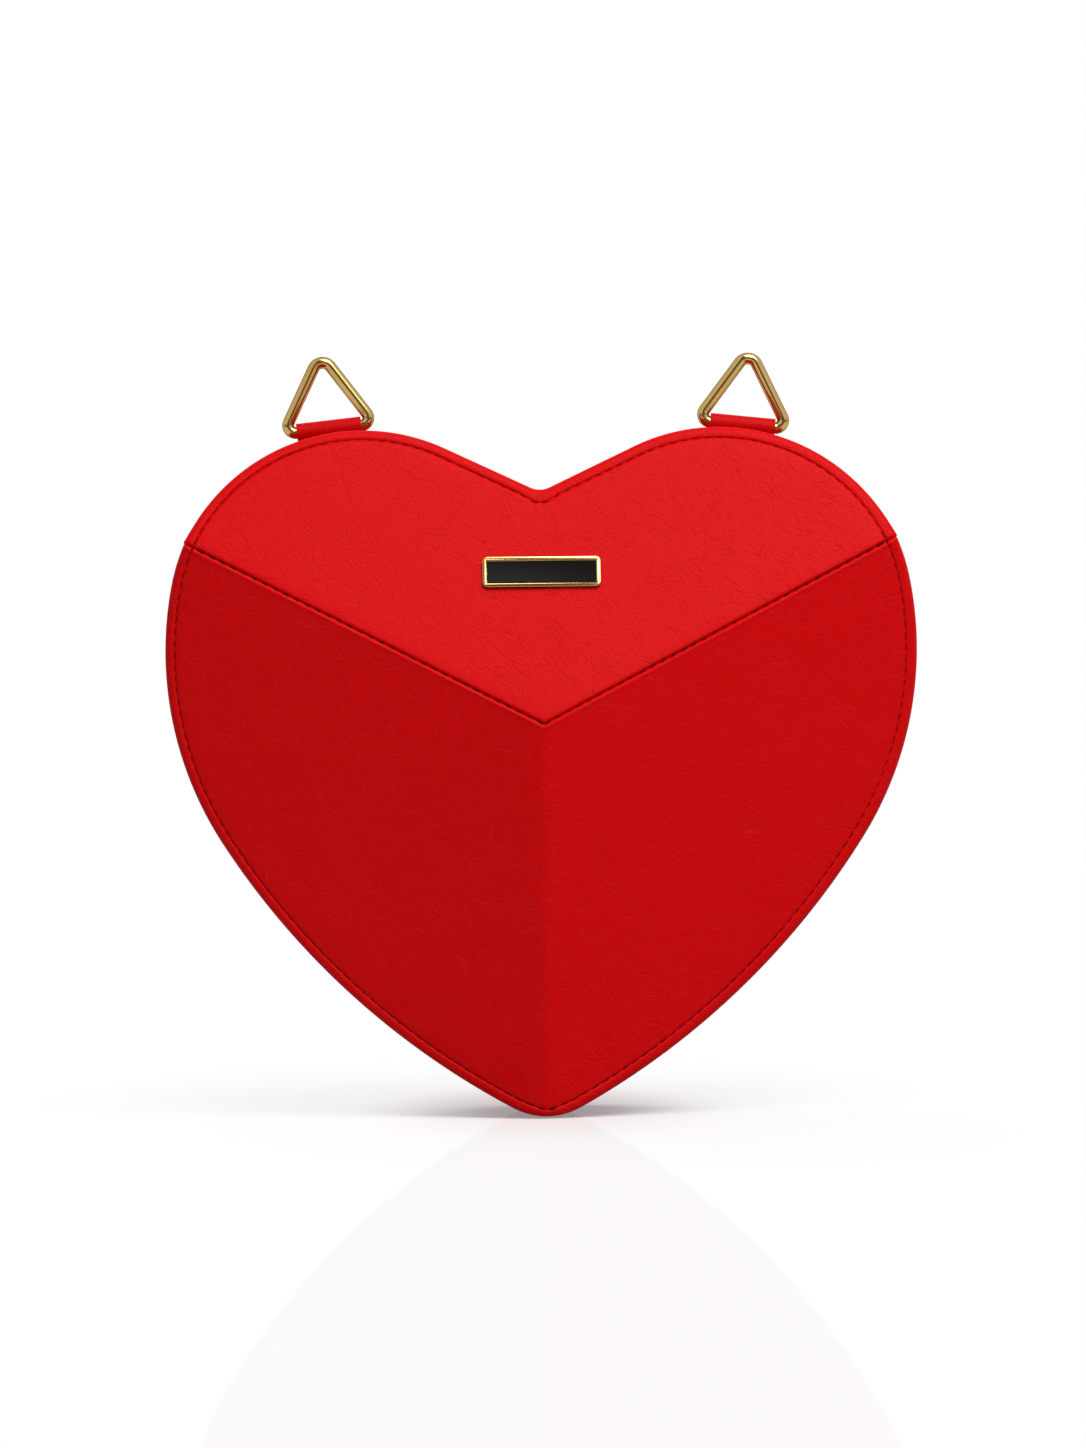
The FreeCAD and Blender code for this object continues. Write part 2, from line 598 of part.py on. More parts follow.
def zipper_path():
    """Right half of the zipper's run, from the base to the middle of the cleft.

    Each stretch is its length and a function from 0 to 1 along it to the place and the outward angle."""
    inset = value(TAPE_MIDDLE)
    arcs, tip, tip_angle, cleft, slope = right_arcs(inset)
    cleft_radius = value("Sizes.cleft_radius") + inset
    lobe, lobe_radius = arcs[2][0], arcs[2][1]
    top = polar(lobe, lobe_radius, slope)
    low = polar(cleft, cleft_radius, slope + 180)

    def along_arc(centre, radius, start, end, part):
        angle = start + (end - start) * part
        return polar(centre, radius, angle), angle

    def along_slope(part):
        return top + (low - top) * part, slope

    def along_cleft(part):
        angle = slope + (90 - slope) * part
        return polar(cleft, cleft_radius, angle - 180), angle

    pieces = []
    for each in arcs:
        length = math.radians(each[3] - each[2]) * each[1]
        pieces.append((length, functools.partial(along_arc, *each)))
    pieces.append(((low - top).Length, along_slope))
    pieces.append((math.radians(slope - 90) * cleft_radius, along_cleft))
    return pieces


def tooth_row(name, side, shift):
    """Teeth along the whole zipper, each a small block on the tape's edge."""
    pitch = value("Sizes.tooth_pitch")
    length = value("Sizes.tooth_length")
    width = value("Sizes.tooth_width")
    thick = value("Sizes.tooth_thick")
    near = value("Sizes.tooth_gap")
    start = value("Sizes.base_half + Sizes.seam_gap + Sizes.stop_length + Sizes.tooth_pitch")
    depth = -value("Sizes.zipper_y")
    pieces = zipper_path()
    total = sum(piece[0] for piece in pieces)
    teeth = []
    count = int(total / pitch)
    for half in (1, -1):
        for i in range(count):
            run = total - (i + (0.5 if half * shift > 0 else 1)) * pitch + pitch / 4
            if run < 0:
                continue
            rest = run
            for piece_length, place in pieces:
                if rest <= piece_length:
                    break
                rest -= piece_length
            spot, angle = place(rest / piece_length)
            if spot.x < start and spot.y < value("Sizes.apex_z"):
                continue
            root = near if side > 0 else -near - length
            tooth = Part.makeBox(width, length, thick, Vector(-width / 2, root, -thick / 2))
            tooth.Placement = Placement(Vector(half * spot.x, depth, spot.y),
                                        Rotation(Vector(0, 1, 0), half * (90 - angle)))
            teeth.append(tooth)
    feature = doc.addObject("Part::Feature", name)
    feature.Shape = Part.makeCompound(teeth)
    return feature


back_teeth = tooth_row("back_teeth", 1, 1)
front_teeth = tooth_row("front_teeth", -1, -1)


def zipper_stop(name, side):
    """Block that closes one end of the zipper, clamped beside the back tape."""
    arcs, tip, tip_angle, cleft, slope = right_arcs(value(TAPE_MIDDLE))
    centre, radius = arcs[0][0], arcs[0][1]
    across = value("Sizes.base_half + Sizes.seam_gap + Sizes.stop_length / 2 + Sizes.stop_clear")
    angle = -math.degrees(math.acos((across - centre.x) / radius))
    spot = polar(centre, radius, angle)
    stop = doc.addObject("Part::Box", name)
    stop.setExpression("Length", "Sizes.stop_length")
    stop.setExpression("Width", "Sizes.tooth_length")
    stop.setExpression("Height", "Sizes.tooth_thick")
    turn = Rotation(Vector(0, 1, 0), side * (90 - angle))
    thick = value("Sizes.tooth_thick")
    corner = Vector(-value("Sizes.stop_length") / 2, value("Sizes.tooth_gap"), -thick / 2)
    place = Vector(side * spot.x, -value("Sizes.zipper_y"), spot.y) + turn.multVec(corner)
    stop.Placement = Placement(place + Vector(0, value(MOVE_Y), value(MOVE_Z)), turn)
    stop.Label = name
    nodes.append(stop)


# Finished pieces of the two halves.
node("front_upper_panel", rounded_rim("upper_panel_round", upper_panel))
node("front_lower_panel", rounded_rim("lower_panel_round", lower_panel))
node("front_upper_board", upper_board)
node("front_left_board", left_board)
node("front_right_board", right_board)
node("front_lining", front_lining)
node("front_gusset", front_gusset)
node("front_gusset_lining", front_gusset_lining)
node("front_zipper_tape", front_tape)
node("front_zipper_teeth", front_teeth)
node("back_panel", rounded_rim("back_panel_round", back_tray))
node("back_board", back_board)
node("back_lining", back_lining)
node("slip_pocket", pocket)
node("back_gusset", back_gusset)
node("back_gusset_lining", back_gusset_lining)
node("back_zipper_tape", back_tape)
node("back_zipper_teeth", back_teeth)
node("base_gusset", base_gusset)
node("base_lining", base_lining)
zipper_stop("left_zipper_stop", -1)
zipper_stop("right_zipper_stop", 1)
for name, feature in (("badge_plate", badge_placed), ("badge_washer", washer_placed)):
    feature.Label = name
    feature.setExpression("Placement.Base.y", f"{BADGE_Y} + {MOVE_Y}")
    feature.setExpression("Placement.Base.z", f"Sizes.badge_z + {MOVE_Z}")
    nodes.append(feature)


def at_bar(name, feature, side):
    """Places a piece drawn about its ring bar, tilted outward on the lobe."""
    feature.Label = name
    feature.Placement = Placement(Vector(), Rotation(Vector(0, 1, 0), side))
    feature.setExpression("Placement.Rotation.Angle", "Sizes.tab_tilt")
    feature.setExpression("Placement.Rotation.Axis.y", f"{side}")
    feature.setExpression("Placement.Base.x", f"{side} * {BAR_X}")
    nodes.append(feature)


def ring_tab(name, side):
    """Leather strip folded round the ring's bar, both ends sewn between the back panel and its gusset."""
    body = new_body(f"{name}_body")
    sketch = new_sketch(body, f"{name}_sketch", "YZ_Plane")
    half = value("Sizes.tab_leather")
    outside = value("Sizes.wire_radius + Sizes.run_clear + Sizes.tab_leather")
    foot = value(f"Sizes.bar_rise + {GUSSET_INSIDE}")
    neck = math.sqrt(outside ** 2 - half ** 2)
    opening = math.degrees(math.atan2(-neck, half))
    loop = sketch.addGeometry(arc(Vector(), outside, opening, 180 - opening), False)
    hole = sketch_circle(sketch, "Sizes.wire_radius + Sizes.run_clear")
    spots = [Vector(-half, -neck, 0), Vector(-half, -foot, 0), Vector(half, -foot, 0), Vector(half, -neck, 0)]
    lines = [sketch_line(sketch, spots[i], spots[i + 1]) for i in range(3)]
    sketch.addConstraint(Constraint("Coincident", loop, 3, -1, 1))
    sketch.addConstraint(Constraint("Coincident", loop, 2, lines[0], 1))
    sketch.addConstraint(Constraint("Coincident", lines[0], 2, lines[1], 1))
    sketch.addConstraint(Constraint("Coincident", lines[1], 2, lines[2], 1))
    sketch.addConstraint(Constraint("Coincident", lines[2], 2, loop, 1))
    sketch.addConstraint(Constraint("Vertical", lines[0]))
    sketch.addConstraint(Constraint("Horizontal", lines[1]))
    sketch.addConstraint(Constraint("Vertical", lines[2]))
    drive(sketch, [
        (("Radius", loop), "Sizes.wire_radius + Sizes.run_clear + Sizes.tab_leather"),
        (("DistanceX", lines[0], 2, -1, 1), "Sizes.tab_leather"),
        (("DistanceX", -1, 1, lines[2], 1), "Sizes.tab_leather"),
        (("DistanceY", lines[0], 2, -1, 1), f"Sizes.bar_rise + {GUSSET_INSIDE}"),
    ])
    pad(body, sketch, "Sizes.tab_width", f"{name}_pad", True)
    at_bar(name, body, side)


def strap_ring(name, side):
    """Triangle of round wire with its straight bar through the tab."""
    body = new_body(f"{name}_body")
    path = new_sketch(body, f"{name}_path")
    half = value("Sizes.ring_half")
    corner = value("Sizes.ring_corner")
    bend = value("Sizes.ring_apex")
    low_right = Vector(half, corner, 0)
    apex = Vector(0, value("Sizes.ring_height") - bend, 0)
    span = apex - low_right
    lean = math.degrees(math.atan2(span.y, span.x) - math.acos((corner - bend) / span.Length))
    bar = sketch_line(path, Vector(-half, 0, 0), Vector(half, 0, 0))
    arc_right = path.addGeometry(arc(low_right, corner, -90, lean), False)
    leg_right = sketch_line(path, polar(low_right, corner, lean), polar(apex, bend, lean))
    arc_top = path.addGeometry(arc(apex, bend, lean, 180 - lean), False)
    low_left = Vector(-half, corner, 0)
    leg_left = sketch_line(path, polar(apex, bend, 180 - lean), polar(low_left, corner, 180 - lean))
    arc_left = path.addGeometry(arc(low_left, corner, 180 - lean, 270), False)
    chain = [(bar, 2, arc_right, 1), (arc_right, 2, leg_right, 1), (leg_right, 2, arc_top, 1),
             (arc_top, 2, leg_left, 1), (leg_left, 2, arc_left, 1), (arc_left, 2, bar, 1)]
    for join in chain:
        path.addConstraint(Constraint("Tangent", *join))
    path.addConstraint(Constraint("Horizontal", bar))
    path.addConstraint(Constraint("PointOnObject", bar, 1, -1))
    path.addConstraint(Constraint("PointOnObject", arc_top, 3, -2))
    path.addConstraint(Constraint("Equal", arc_right, arc_left))
    drive(path, [
        (("DistanceX", -1, 1, bar, 2), "Sizes.ring_half"),
        (("DistanceX", bar, 1, -1, 1), "Sizes.ring_half"),
        (("Radius", arc_right), "Sizes.ring_corner"),
        (("Radius", arc_top), "Sizes.ring_apex"),
        (("DistanceY", -1, 1, arc_top, 3), "Sizes.ring_height - Sizes.ring_apex"),
    ])
    section = new_sketch(body, f"{name}_section", "YZ_Plane")
    sketch_circle(section, "Sizes.wire_radius")
    pipe = body.newObject("PartDesign::AdditivePipe", f"{name}_pipe")
    pipe.Profile = section
    pipe.Spine = (path, [f"Edge{i}" for i in range(1, 7)])
    body.Tip = pipe
    at_bar(name, body, side)


for side, name in ((-1, "left"), (1, "right")):
    ring_tab(f"{name}_ring_tab", side)
    strap_ring(f"{name}_ring", side)

SLIDER_TOP = "(Sizes.slider_gap / 2 + Sizes.slider_plate)"
PIN_Z = f"({SLIDER_TOP} + Sizes.bail_space / 2)"


def on_zipper(name, feature, place, lift="0", shift="0", tilt="0"):
    """Places a piece on an arc of the zipper, lifted off the teeth, shifted along the run and tilted."""
    angle, centre_x, centre_z, radius = place
    reach = f"({radius} - {TAPE_MIDDLE} + {lift})"
    feature.Label = name
    feature.Placement = Placement(Vector(), Rotation(Vector(0, 1, 0), 10))
    feature.setExpression("Placement.Rotation.Angle", f"90 - {angle} + {tilt}")
    feature.setExpression("Placement.Base.x", f"{centre_x} + {reach} * cos({angle}) + {shift} * sin({angle})")
    feature.setExpression("Placement.Base.y", f"{MOVE_Y} - Sizes.zipper_y")
    height = f"{reach} * sin({angle}) - {shift} * cos({angle})"
    feature.setExpression("Placement.Base.z", f"{MOVE_Z} + {centre_z} + {height}")
    nodes.append(feature)


def slider_body(name, head):
    """Two plates on a post that runs between the tooth rows, with a bail on top; head is the post's end."""
    body = new_body(f"{name}_body")
    levels = (("low", "-Sizes.slider_gap / 2 - Sizes.slider_plate"), ("top", "Sizes.slider_gap / 2"))
    post = new_sketch(body, f"{name}_post", "XY_Plane", "-Sizes.slider_gap / 2 - Sizes.slider_plate")
    middle = f"{head} * (Sizes.slider_length - Sizes.post_length) / 2"
    rectangle(post, f"{middle} - Sizes.post_length / 2", f"{middle} + Sizes.post_length / 2",
              "-Sizes.post_thick / 2", "Sizes.post_thick / 2")
    pad(body, post, "Sizes.slider_gap + 2 * Sizes.slider_plate", f"{name}_post_pad")
    for level, height in levels:
        plate = new_sketch(body, f"{name}_{level}", "XY_Plane", height)
        rectangle(plate, "-Sizes.slider_length / 2", "Sizes.slider_length / 2",
                  "-Sizes.slider_width / 2", "Sizes.slider_width / 2")
        pad(body, plate, "Sizes.slider_plate", f"{name}_{level}_pad")
    bail = new_sketch(body, f"{name}_bail", "XZ_Plane")
    top = f"{SLIDER_TOP} + Sizes.bail_space + Sizes.bail_bar"
    polygon(bail, [
        ("-Sizes.bail_length / 2", f"{SLIDER_TOP} - Sizes.bail_root"),
        ("-Sizes.bail_length / 2", f"{SLIDER_TOP} + Sizes.bail_space"),
        ("-Sizes.bail_length / 2 + Sizes.bail_bar", top),
        ("Sizes.bail_length / 2 - Sizes.bail_bar", top),
        ("Sizes.bail_length / 2", f"{SLIDER_TOP} + Sizes.bail_space"),
        ("Sizes.bail_length / 2", f"{SLIDER_TOP} - Sizes.bail_root"),
        ("Sizes.bail_length / 2 - Sizes.bail_bar", f"{SLIDER_TOP} - Sizes.bail_root"),
        ("Sizes.bail_length / 2 - Sizes.bail_bar", f"{SLIDER_TOP} + Sizes.bail_space"),
        ("-Sizes.bail_length / 2 + Sizes.bail_bar", f"{SLIDER_TOP} + Sizes.bail_space"),
        ("-Sizes.bail_length / 2 + Sizes.bail_bar", f"{SLIDER_TOP} - Sizes.bail_root"),
    ])
    pad(body, bail, "Sizes.bail_width", f"{name}_bail_pad", True)
    return body


def pull_body(name, side):
    """Flat tag with an eye round the bail; its pin lies under the bail and is the axis it swings on."""
    body = new_body(f"{name}_body")
    outline = new_sketch(body, f"{name}_outline", "XY_Plane", "-Sizes.pull_pin")
    wide = "(Sizes.bail_width / 2 + Sizes.pull_side + 2 * Sizes.pull_pin)"
    neck = f"({side} * (Sizes.pull_eye + 2 * Sizes.pull_pin))"
    end = f"({side} * (Sizes.pull_eye + Sizes.pull_length))"
    polygon(outline, [
        ("0", f"-{wide}"), (neck, f"-{wide}"), (neck, "-Sizes.pull_width / 2"),
        (end, "-Sizes.pull_width / 2 + Sizes.pull_taper"), (end, "Sizes.pull_width / 2 - Sizes.pull_taper"),
        (neck, "Sizes.pull_width / 2"),
        (neck, wide), ("0", wide),
    ])
    low, high = sorted((f"{side} * 0.3 * Sizes.pull_pin", f"{side} * Sizes.pull_eye"), key=value)
    eye = "(Sizes.bail_width / 2 + Sizes.pull_side)"
    rectangle(outline, low, high, f"-{eye}", eye)
    pad(body, outline, "2 * Sizes.pull_pin", f"{name}_pad")
    pin = new_sketch(body, f"{name}_pin", "XZ_Plane")
    sketch_circle(pin, "Sizes.pull_pin")
    pad(body, pin, f"2 * {wide}", f"{name}_pin_pad", True)
    return body


HIP_X = f"(Sizes.lobe_x - {HIP_REACH} * cos(Sizes.hip_angle))"
HIP_Z = f"(Sizes.lobe_z - {HIP_REACH} * sin(Sizes.hip_angle))"
upper_place = ("Sizes.upper_angle", "Sizes.lobe_x", "Sizes.lobe_z", "Sizes.lobe_radius")
lower_place = ("Sizes.lower_angle", HIP_X, HIP_Z, "Sizes.hip_radius")
on_zipper("upper_slider", slider_body("upper_slider", 1), upper_place)
on_zipper("upper_pull", pull_body("upper_pull", -1), upper_place, PIN_Z,
          "(-Sizes.pull_shift)", "(-Sizes.upper_tilt)")
on_zipper("lower_slider", slider_body("lower_slider", -1), lower_place)
on_zipper("lower_pull", pull_body("lower_pull", 1), lower_place, PIN_Z,
          "Sizes.pull_shift", "Sizes.lower_tilt")

doc.recompute()
for item in doc.Objects:
    if "Invalid" in item.State or "Error" in item.State:
        raise RuntimeError(f"{item.Label}: {item.State}")
os.makedirs("parts", exist_ok=True)
for piece in nodes:
    shape = piece.Shape
    if shape.isNull() or not shape.isValid():
        raise RuntimeError(f"{piece.Label}: shape is null or not valid")
    print(piece.Label, len(shape.Solids), round(shape.Volume, 1))
    shape.exportStep(f"parts/{piece.Label}.step")
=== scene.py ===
import math
from functools import partial
import bmesh
import bpy
from mathutils import Matrix, Vector, kdtree, noise


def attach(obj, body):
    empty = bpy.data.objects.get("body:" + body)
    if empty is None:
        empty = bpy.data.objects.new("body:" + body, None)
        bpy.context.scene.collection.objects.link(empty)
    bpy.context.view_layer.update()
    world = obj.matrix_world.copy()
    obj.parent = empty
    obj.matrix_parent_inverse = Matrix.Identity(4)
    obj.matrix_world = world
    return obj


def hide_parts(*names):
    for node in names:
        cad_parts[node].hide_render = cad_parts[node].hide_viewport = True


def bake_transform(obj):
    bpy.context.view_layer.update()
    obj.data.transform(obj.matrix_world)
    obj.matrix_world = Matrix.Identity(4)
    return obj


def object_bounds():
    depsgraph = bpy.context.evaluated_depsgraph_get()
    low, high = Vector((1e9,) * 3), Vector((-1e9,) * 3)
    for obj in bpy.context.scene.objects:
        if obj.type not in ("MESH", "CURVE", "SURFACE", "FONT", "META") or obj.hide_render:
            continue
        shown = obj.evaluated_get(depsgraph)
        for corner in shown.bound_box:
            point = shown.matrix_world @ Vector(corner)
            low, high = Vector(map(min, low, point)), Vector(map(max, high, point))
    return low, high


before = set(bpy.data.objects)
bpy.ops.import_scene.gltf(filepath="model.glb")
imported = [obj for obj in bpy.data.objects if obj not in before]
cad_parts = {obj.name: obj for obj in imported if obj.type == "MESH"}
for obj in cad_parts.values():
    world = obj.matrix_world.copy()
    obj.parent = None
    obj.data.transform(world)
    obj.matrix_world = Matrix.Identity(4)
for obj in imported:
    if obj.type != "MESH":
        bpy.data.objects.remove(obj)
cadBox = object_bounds()
scene = bpy.context.scene
print("frame loaded, nodes:", len(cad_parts))

# The pieces are drawn in millimetres as the part is: tip at zero height, back face at zero depth, front towards
# minus y.
heart = {
    "lobeX": 50.3, "lobeZ": 138.9, "lobeRadius": 54.6,
    "hipRadius": 97.8, "hipAngle": 12.0, "sideRadius": 217.0, "tipRadius": 20.5,
    "cleftZ": 176.0, "cleftRadius": 6.0,
    "seamX": 98.4, "seamZ": 161.0, "apexZ": 110.0, "apexRise": 18.0, "rimDepth": 62.0,
    "lid": 3.2, "zipperY": 25.0, "window": 11.0, "baseHalf": 27.1,
    "barRise": 3.6, "tabLean": 9.6, "tabTilt": 6.0, "tabLeather": 0.9,
}
barReach = heart["lobeRadius"] + heart["barRise"]
lean = math.radians(heart["tabLean"])
barX = heart["lobeX"] + barReach * math.sin(lean)
drawnPlace = Matrix.Translation((0, (heart["lid"] + heart["tabLeather"]) / 1000,
                                 -(heart["lobeZ"] + barReach * math.cos(lean)) / 1000)) @ Matrix.Scale(0.001, 4)


# Nodes and colours

def hexColour(text):
    parts = [int(text[i:i + 2], 16) / 255 for i in (1, 3, 5)]
    return [c / 12.92 if c < 0.04045 else ((c + 0.055) / 1.055) ** 2.4 for c in parts] + [1.0]


def feed(material, node, inputs):
    # an input takes a constant, a socket, or the first output of a node
    for name, value in inputs.items():
        if isinstance(value, bpy.types.Node):
            value = value.outputs[0]
        if isinstance(value, bpy.types.NodeSocket):
            material.node_tree.links.new(value, node.inputs[name])
        else:
            node.inputs[name].default_value = value


def addNode(material, kind, inputs=None, **settings):
    made = material.node_tree.nodes.new("ShaderNode" + kind)
    for name, value in settings.items():
        setattr(made, name, value)
    feed(material, made, inputs or {})
    return made


def startMaterial(name):
    material = bpy.data.materials.new(name)
    material.use_nodes = True
    shader = material.node_tree.nodes["Principled BSDF"]
    add = partial(addNode, material)
    return material, shader, add("TexCoord").outputs["Object"], add


def perMetre(millimetres):
    return 1000 / millimetres


# the scale of a wave texture counts turns, and a turn is one thread
waveTurn = 6.283
eased = {"interpolation_type": "SMOOTHSTEP"}


def embossedLeather(name, look):
    # PU coated leather, embossed: fine pores, and broken hairline creases in several slanted directions; the
    # creases also get a painted crease colour: painted shade where it is dark, painted highlight where it is light
    material, shader, coords, add = startMaterial(name)
    drift, bend, pores = [
        add("TexNoise", {"Vector": coords, "Scale": perMetre(look[size]), "Detail": detail})
        for size, detail in (("patch", 2.0), ("bend", 2.0), ("pore", 3.0))]
    shift = add("VectorMath", {0: bend.outputs["Color"], 1: (0.5, 0.5, 0.5)}, operation="SUBTRACT")
    warp = add("VectorMath", {0: shift, "Scale": look["sway"] / 1000}, operation="SCALE")
    bent = add("VectorMath", {0: coords, 1: warp}, operation="ADD")
    creased = 0.0
    for cell, lie, depth in look["creases"]:
        laid = add("Mapping", {"Vector": bent, "Rotation": (0, math.radians(lie), 0),
                               "Scale": (1, 1, 1 / look["stretch"])}, vector_type="TEXTURE")
        cells = add("TexVoronoi", {"Vector": laid, "Scale": perMetre(cell)}, feature="DISTANCE_TO_EDGE")
        line = add("MapRange", {"Value": cells, "From Max": look["hair"] * look["stretch"] / cell,
                                "To Min": depth, "To Max": 0.0}, **eased)
        gaps = add("TexNoise", {"Vector": laid, "Scale": perMetre(cell * look["gap"]), "Detail": 1.0})
        whole = add("MapRange", {"Value": gaps, "From Min": look["broken"][0],
                                 "From Max": look["broken"][1]}, **eased)
        creased = add("Math", {0: line, 1: whole, 2: creased}, operation="MULTIPLY_ADD")
    where = add("MapRange", {"Value": drift, "From Min": 0.3, "From Max": 0.62, "To Min": 0.75}, **eased)
    furrow = add("Math", {0: creased, 1: where}, operation="MULTIPLY")
    grain = add("Math", {0: pores, 1: look["poreDepth"]}, operation="MULTIPLY")
    height = add("Math", {0: grain, 1: furrow}, operation="SUBTRACT")
    bump = add("Bump", {"Height": height, "Strength": 1.0, "Distance": look["furrow"] / 1000})
    tone = add("Mix", {"Factor": drift, 6: hexColour(look["deep"]), 7: hexColour(look["colour"])},
               data_type="RGBA")
    # painted light in the creases: the crease colour is mixed in by the crease depth
    paintedCreaseShare = add("Math", {0: furrow, 1: look["paintedCreaseShare"]}, operation="MULTIPLY")
    final = add("Mix", {"Factor": paintedCreaseShare, 6: tone.outputs[2], 7: hexColour(look["creaseShadeAndHighlight"])}, data_type="RGBA")
    rough = add("MapRange", {"Value": pores, "From Min": 0.3, "From Max": 0.7,
                             "To Min": look["rough"][0], "To Max": look["rough"][1]})
    feed(material, shader, {"Base Color": final.outputs[2], "Roughness": rough, "Normal": bump, "IOR": 1.48,
                            "Specular IOR Level": look["gloss"]})
    return material


def wovenCloth(name, look):
    # plain weave: two crossed rows of rounded threads, drawn about twice as coarse as real so that they show
    material, shader, coords, add = startMaterial(name)
    rows = [add("TexWave", {"Vector": coords, "Scale": perMetre(look["thread"]) / waveTurn,
                            "Distortion": 0.6, "Detail": 1.0, "Detail Scale": 2.0},
                bands_direction=direction).outputs["Fac"] for direction in ("X", "Z")]
    weave = add("Math", {0: rows[0], 1: rows[1]}, operation="MAXIMUM")
    slub = add("TexNoise", {"Vector": coords, "Scale": perMetre(look["slub"]), "Detail": 4.0})
    shade = add("Math", {0: weave, 1: slub}, operation="MULTIPLY")
    tone = add("Mix", {"Factor": shade, 6: hexColour(look["deep"]), 7: hexColour(look["colour"])},
               data_type="RGBA")
    bump = add("Bump", {"Height": weave, "Strength": 0.5, "Distance": 0.00012})
    feed(material, shader, {"Base Color": tone.outputs[2], "Normal": bump, "Roughness": 0.85, "Sheen Weight": 0.06,
                            "Specular IOR Level": 0.15})
    return material


def platedBrass(name, look):
    # zinc casting, brass plated and polished, with a faint haze and fine scratches; at a glance it reflects dark
    # brown, which is painted shade at the edges
    material, shader, coords, add = startMaterial(name)
    cloud, scratch = [
        add("TexNoise", {"Vector": coords, "Scale": perMetre(look[size]), "Detail": detail})
        for size, detail in (("cloud", 3.0), ("scratch", 2.0))]
    tone = add("Mix", {"Factor": cloud, 6: hexColour(look["colour"]), 7: hexColour(look["patina"])},
               data_type="RGBA")
    rough = add("MapRange", {"Value": cloud, "From Min": 0.35, "From Max": 0.7,
                             "To Min": look["rough"][0], "To Max": look["rough"][1]})
    bump = add("Bump", {"Height": scratch, "Strength": 0.05, "Distance": 0.00003})
    # the dark brown glance tint paints shade along the edges
    feed(material, shader, {"Base Color": tone.outputs[2], "Roughness": rough, "Normal": bump, "Metallic": 1.0,
                            "Specular Tint": hexColour(look["glanceShade"])})
    return material


def twistedThread(name, look):
    # bonded polyester thread: fine twist across the stitch
    material, shader, coords, add = startMaterial(name)
    twist = add("TexWave", {"Vector": coords, "Scale": perMetre(look["twist"]) / waveTurn,
                            "Distortion": 1.5}, bands_direction="DIAGONAL").outputs["Fac"]
    tone = add("Mix", {"Factor": twist, 6: hexColour(look["deep"]), 7: hexColour(look["colour"])},
               data_type="RGBA")
    bump = add("Bump", {"Height": twist, "Strength": 0.5, "Distance": 0.0001})
    feed(material, shader, {"Base Color": tone.outputs[2], "Normal": bump, "Roughness": 0.7,
                            "Specular IOR Level": 0.08})
    return material


def speckledBoard(name, look):
    # pressed fibre board, or any plain sheet with a fine fleck
    material, shader, coords, add = startMaterial(name)
    fleck = add("TexNoise", {"Vector": coords, "Scale": perMetre(look["fleck"]), "Detail": 4.0})
    tone = add("Mix", {"Factor": fleck, 6: hexColour(look["deep"]), 7: hexColour(look["colour"])},
               data_type="RGBA")
    bump = add("Bump", {"Height": fleck, "Strength": 0.2, "Distance": 0.0001})
    feed(material, shader, {"Base Color": tone.outputs[2], "Normal": bump, "Roughness": look["rough"],
                            "Metallic": look["metal"], "Specular IOR Level": look["gloss"]})
    return material


# creases: length of a line in mm, its lie in degrees downwards to the right, and its share of the depth
panelLook = {
    # the dark crease colour and its share paint shade into the creases
    "colour": "#D40408", "deep": "#CE0306", "creaseShadeAndHighlight": "#7A0206", "patch": 40.0, "bend": 12.0, "sway": 4.0,
    "creases": [(10.0, 52, 0.75), (8.5, 22, 0.65), (6.5, -48, 0.4), (4.0, 36, 0.4)],
    "stretch": 3.2, "hair": 0.17, "gap": 1.3, "broken": (0.42, 0.6), "furrow": 0.055, "paintedCreaseShare": 0.16,
    "pore": 0.7, "poreDepth": 0.35, "rough": (0.42, 0.56), "gloss": 0.07,
}
panelLeather = embossedLeather("embossedLeatherPanel", panelLook)
# a lit copy of the panel leather for the lower front panels, whose light crease colour paints highlight into the
# creases
lowerPanelLeatherPaintedHighlight = embossedLeather("embossedLeatherLowerPanelPaintedHighlight", {
    **panelLook, "creaseShadeAndHighlight": "#E83236", "paintedCreaseShare": 0.08, "furrow": 0.08,
    "creases": [(12.0, 40, 0.7), (9.0, 14, 0.6), (7.0, 58, 0.5), (4.5, 30, 0.4)]})
gussetLeather = embossedLeather("embossedLeatherGusset", {**panelLook, "colour": "#CC0407", "deep": "#C00305"})
liningCloth = wovenCloth("wovenLining", {"colour": "#7E1216", "deep": "#4E080B", "thread": 0.6, "slub": 5.0})
tapeCloth = wovenCloth("wovenZipperTape", {"colour": "#A80E14", "deep": "#74070B", "thread": 0.7, "slub": 4.0})
# the thread is the leather's red; its colour is darkened here as painted shade of the ditch it lies in
seamThreadPaintedShade = twistedThread("polyesterThreadPaintedShade", {"colour": "#480305", "deep": "#2A0102", "twist": 0.5})
ringBrass = platedBrass("polishedBrassRing", {
    "colour": "#CFAE70", "patina": "#B48F4E", "glanceShade": "#2E1A0A",
    "cloud": 12.0, "scratch": 0.5, "rough": (0.1, 0.17)})
zipperBrass = platedBrass("polishedBrassZipper", {
    "colour": "#BE9A5A", "patina": "#A07C44", "glanceShade": "#3A2410",
    "cloud": 6.0, "scratch": 0.5, "rough": (0.2, 0.34)})
blackEnamel = speckledBoard("bakedEnamelBlack", {
    "colour": "#15120F", "deep": "#0A0908", "fleck": 0.8, "rough": 0.5, "metal": 0.0, "gloss": 0.06})
fibreBoard = speckledBoard("pressedFibreBoard", {
    "colour": "#9C8A70", "deep": "#6E6150", "fleck": 1.2, "rough": 0.9, "metal": 0.0, "gloss": 0.3})
plainSteel = speckledBoard("rolledSteel", {
    "colour": "#A9A9AB", "deep": "#8C8C90", "fleck": 0.6, "rough": 0.35, "metal": 1.0, "gloss": 0.5})
print("materials made")


# Heart outline
outlineSizes = {"pathStep": 0.4, "fineStep": 0.25}


def polar(centre, radius, degrees):
    angle = math.radians(degrees)
    return centre + Vector((math.cos(angle), 0, math.sin(angle))) * radius


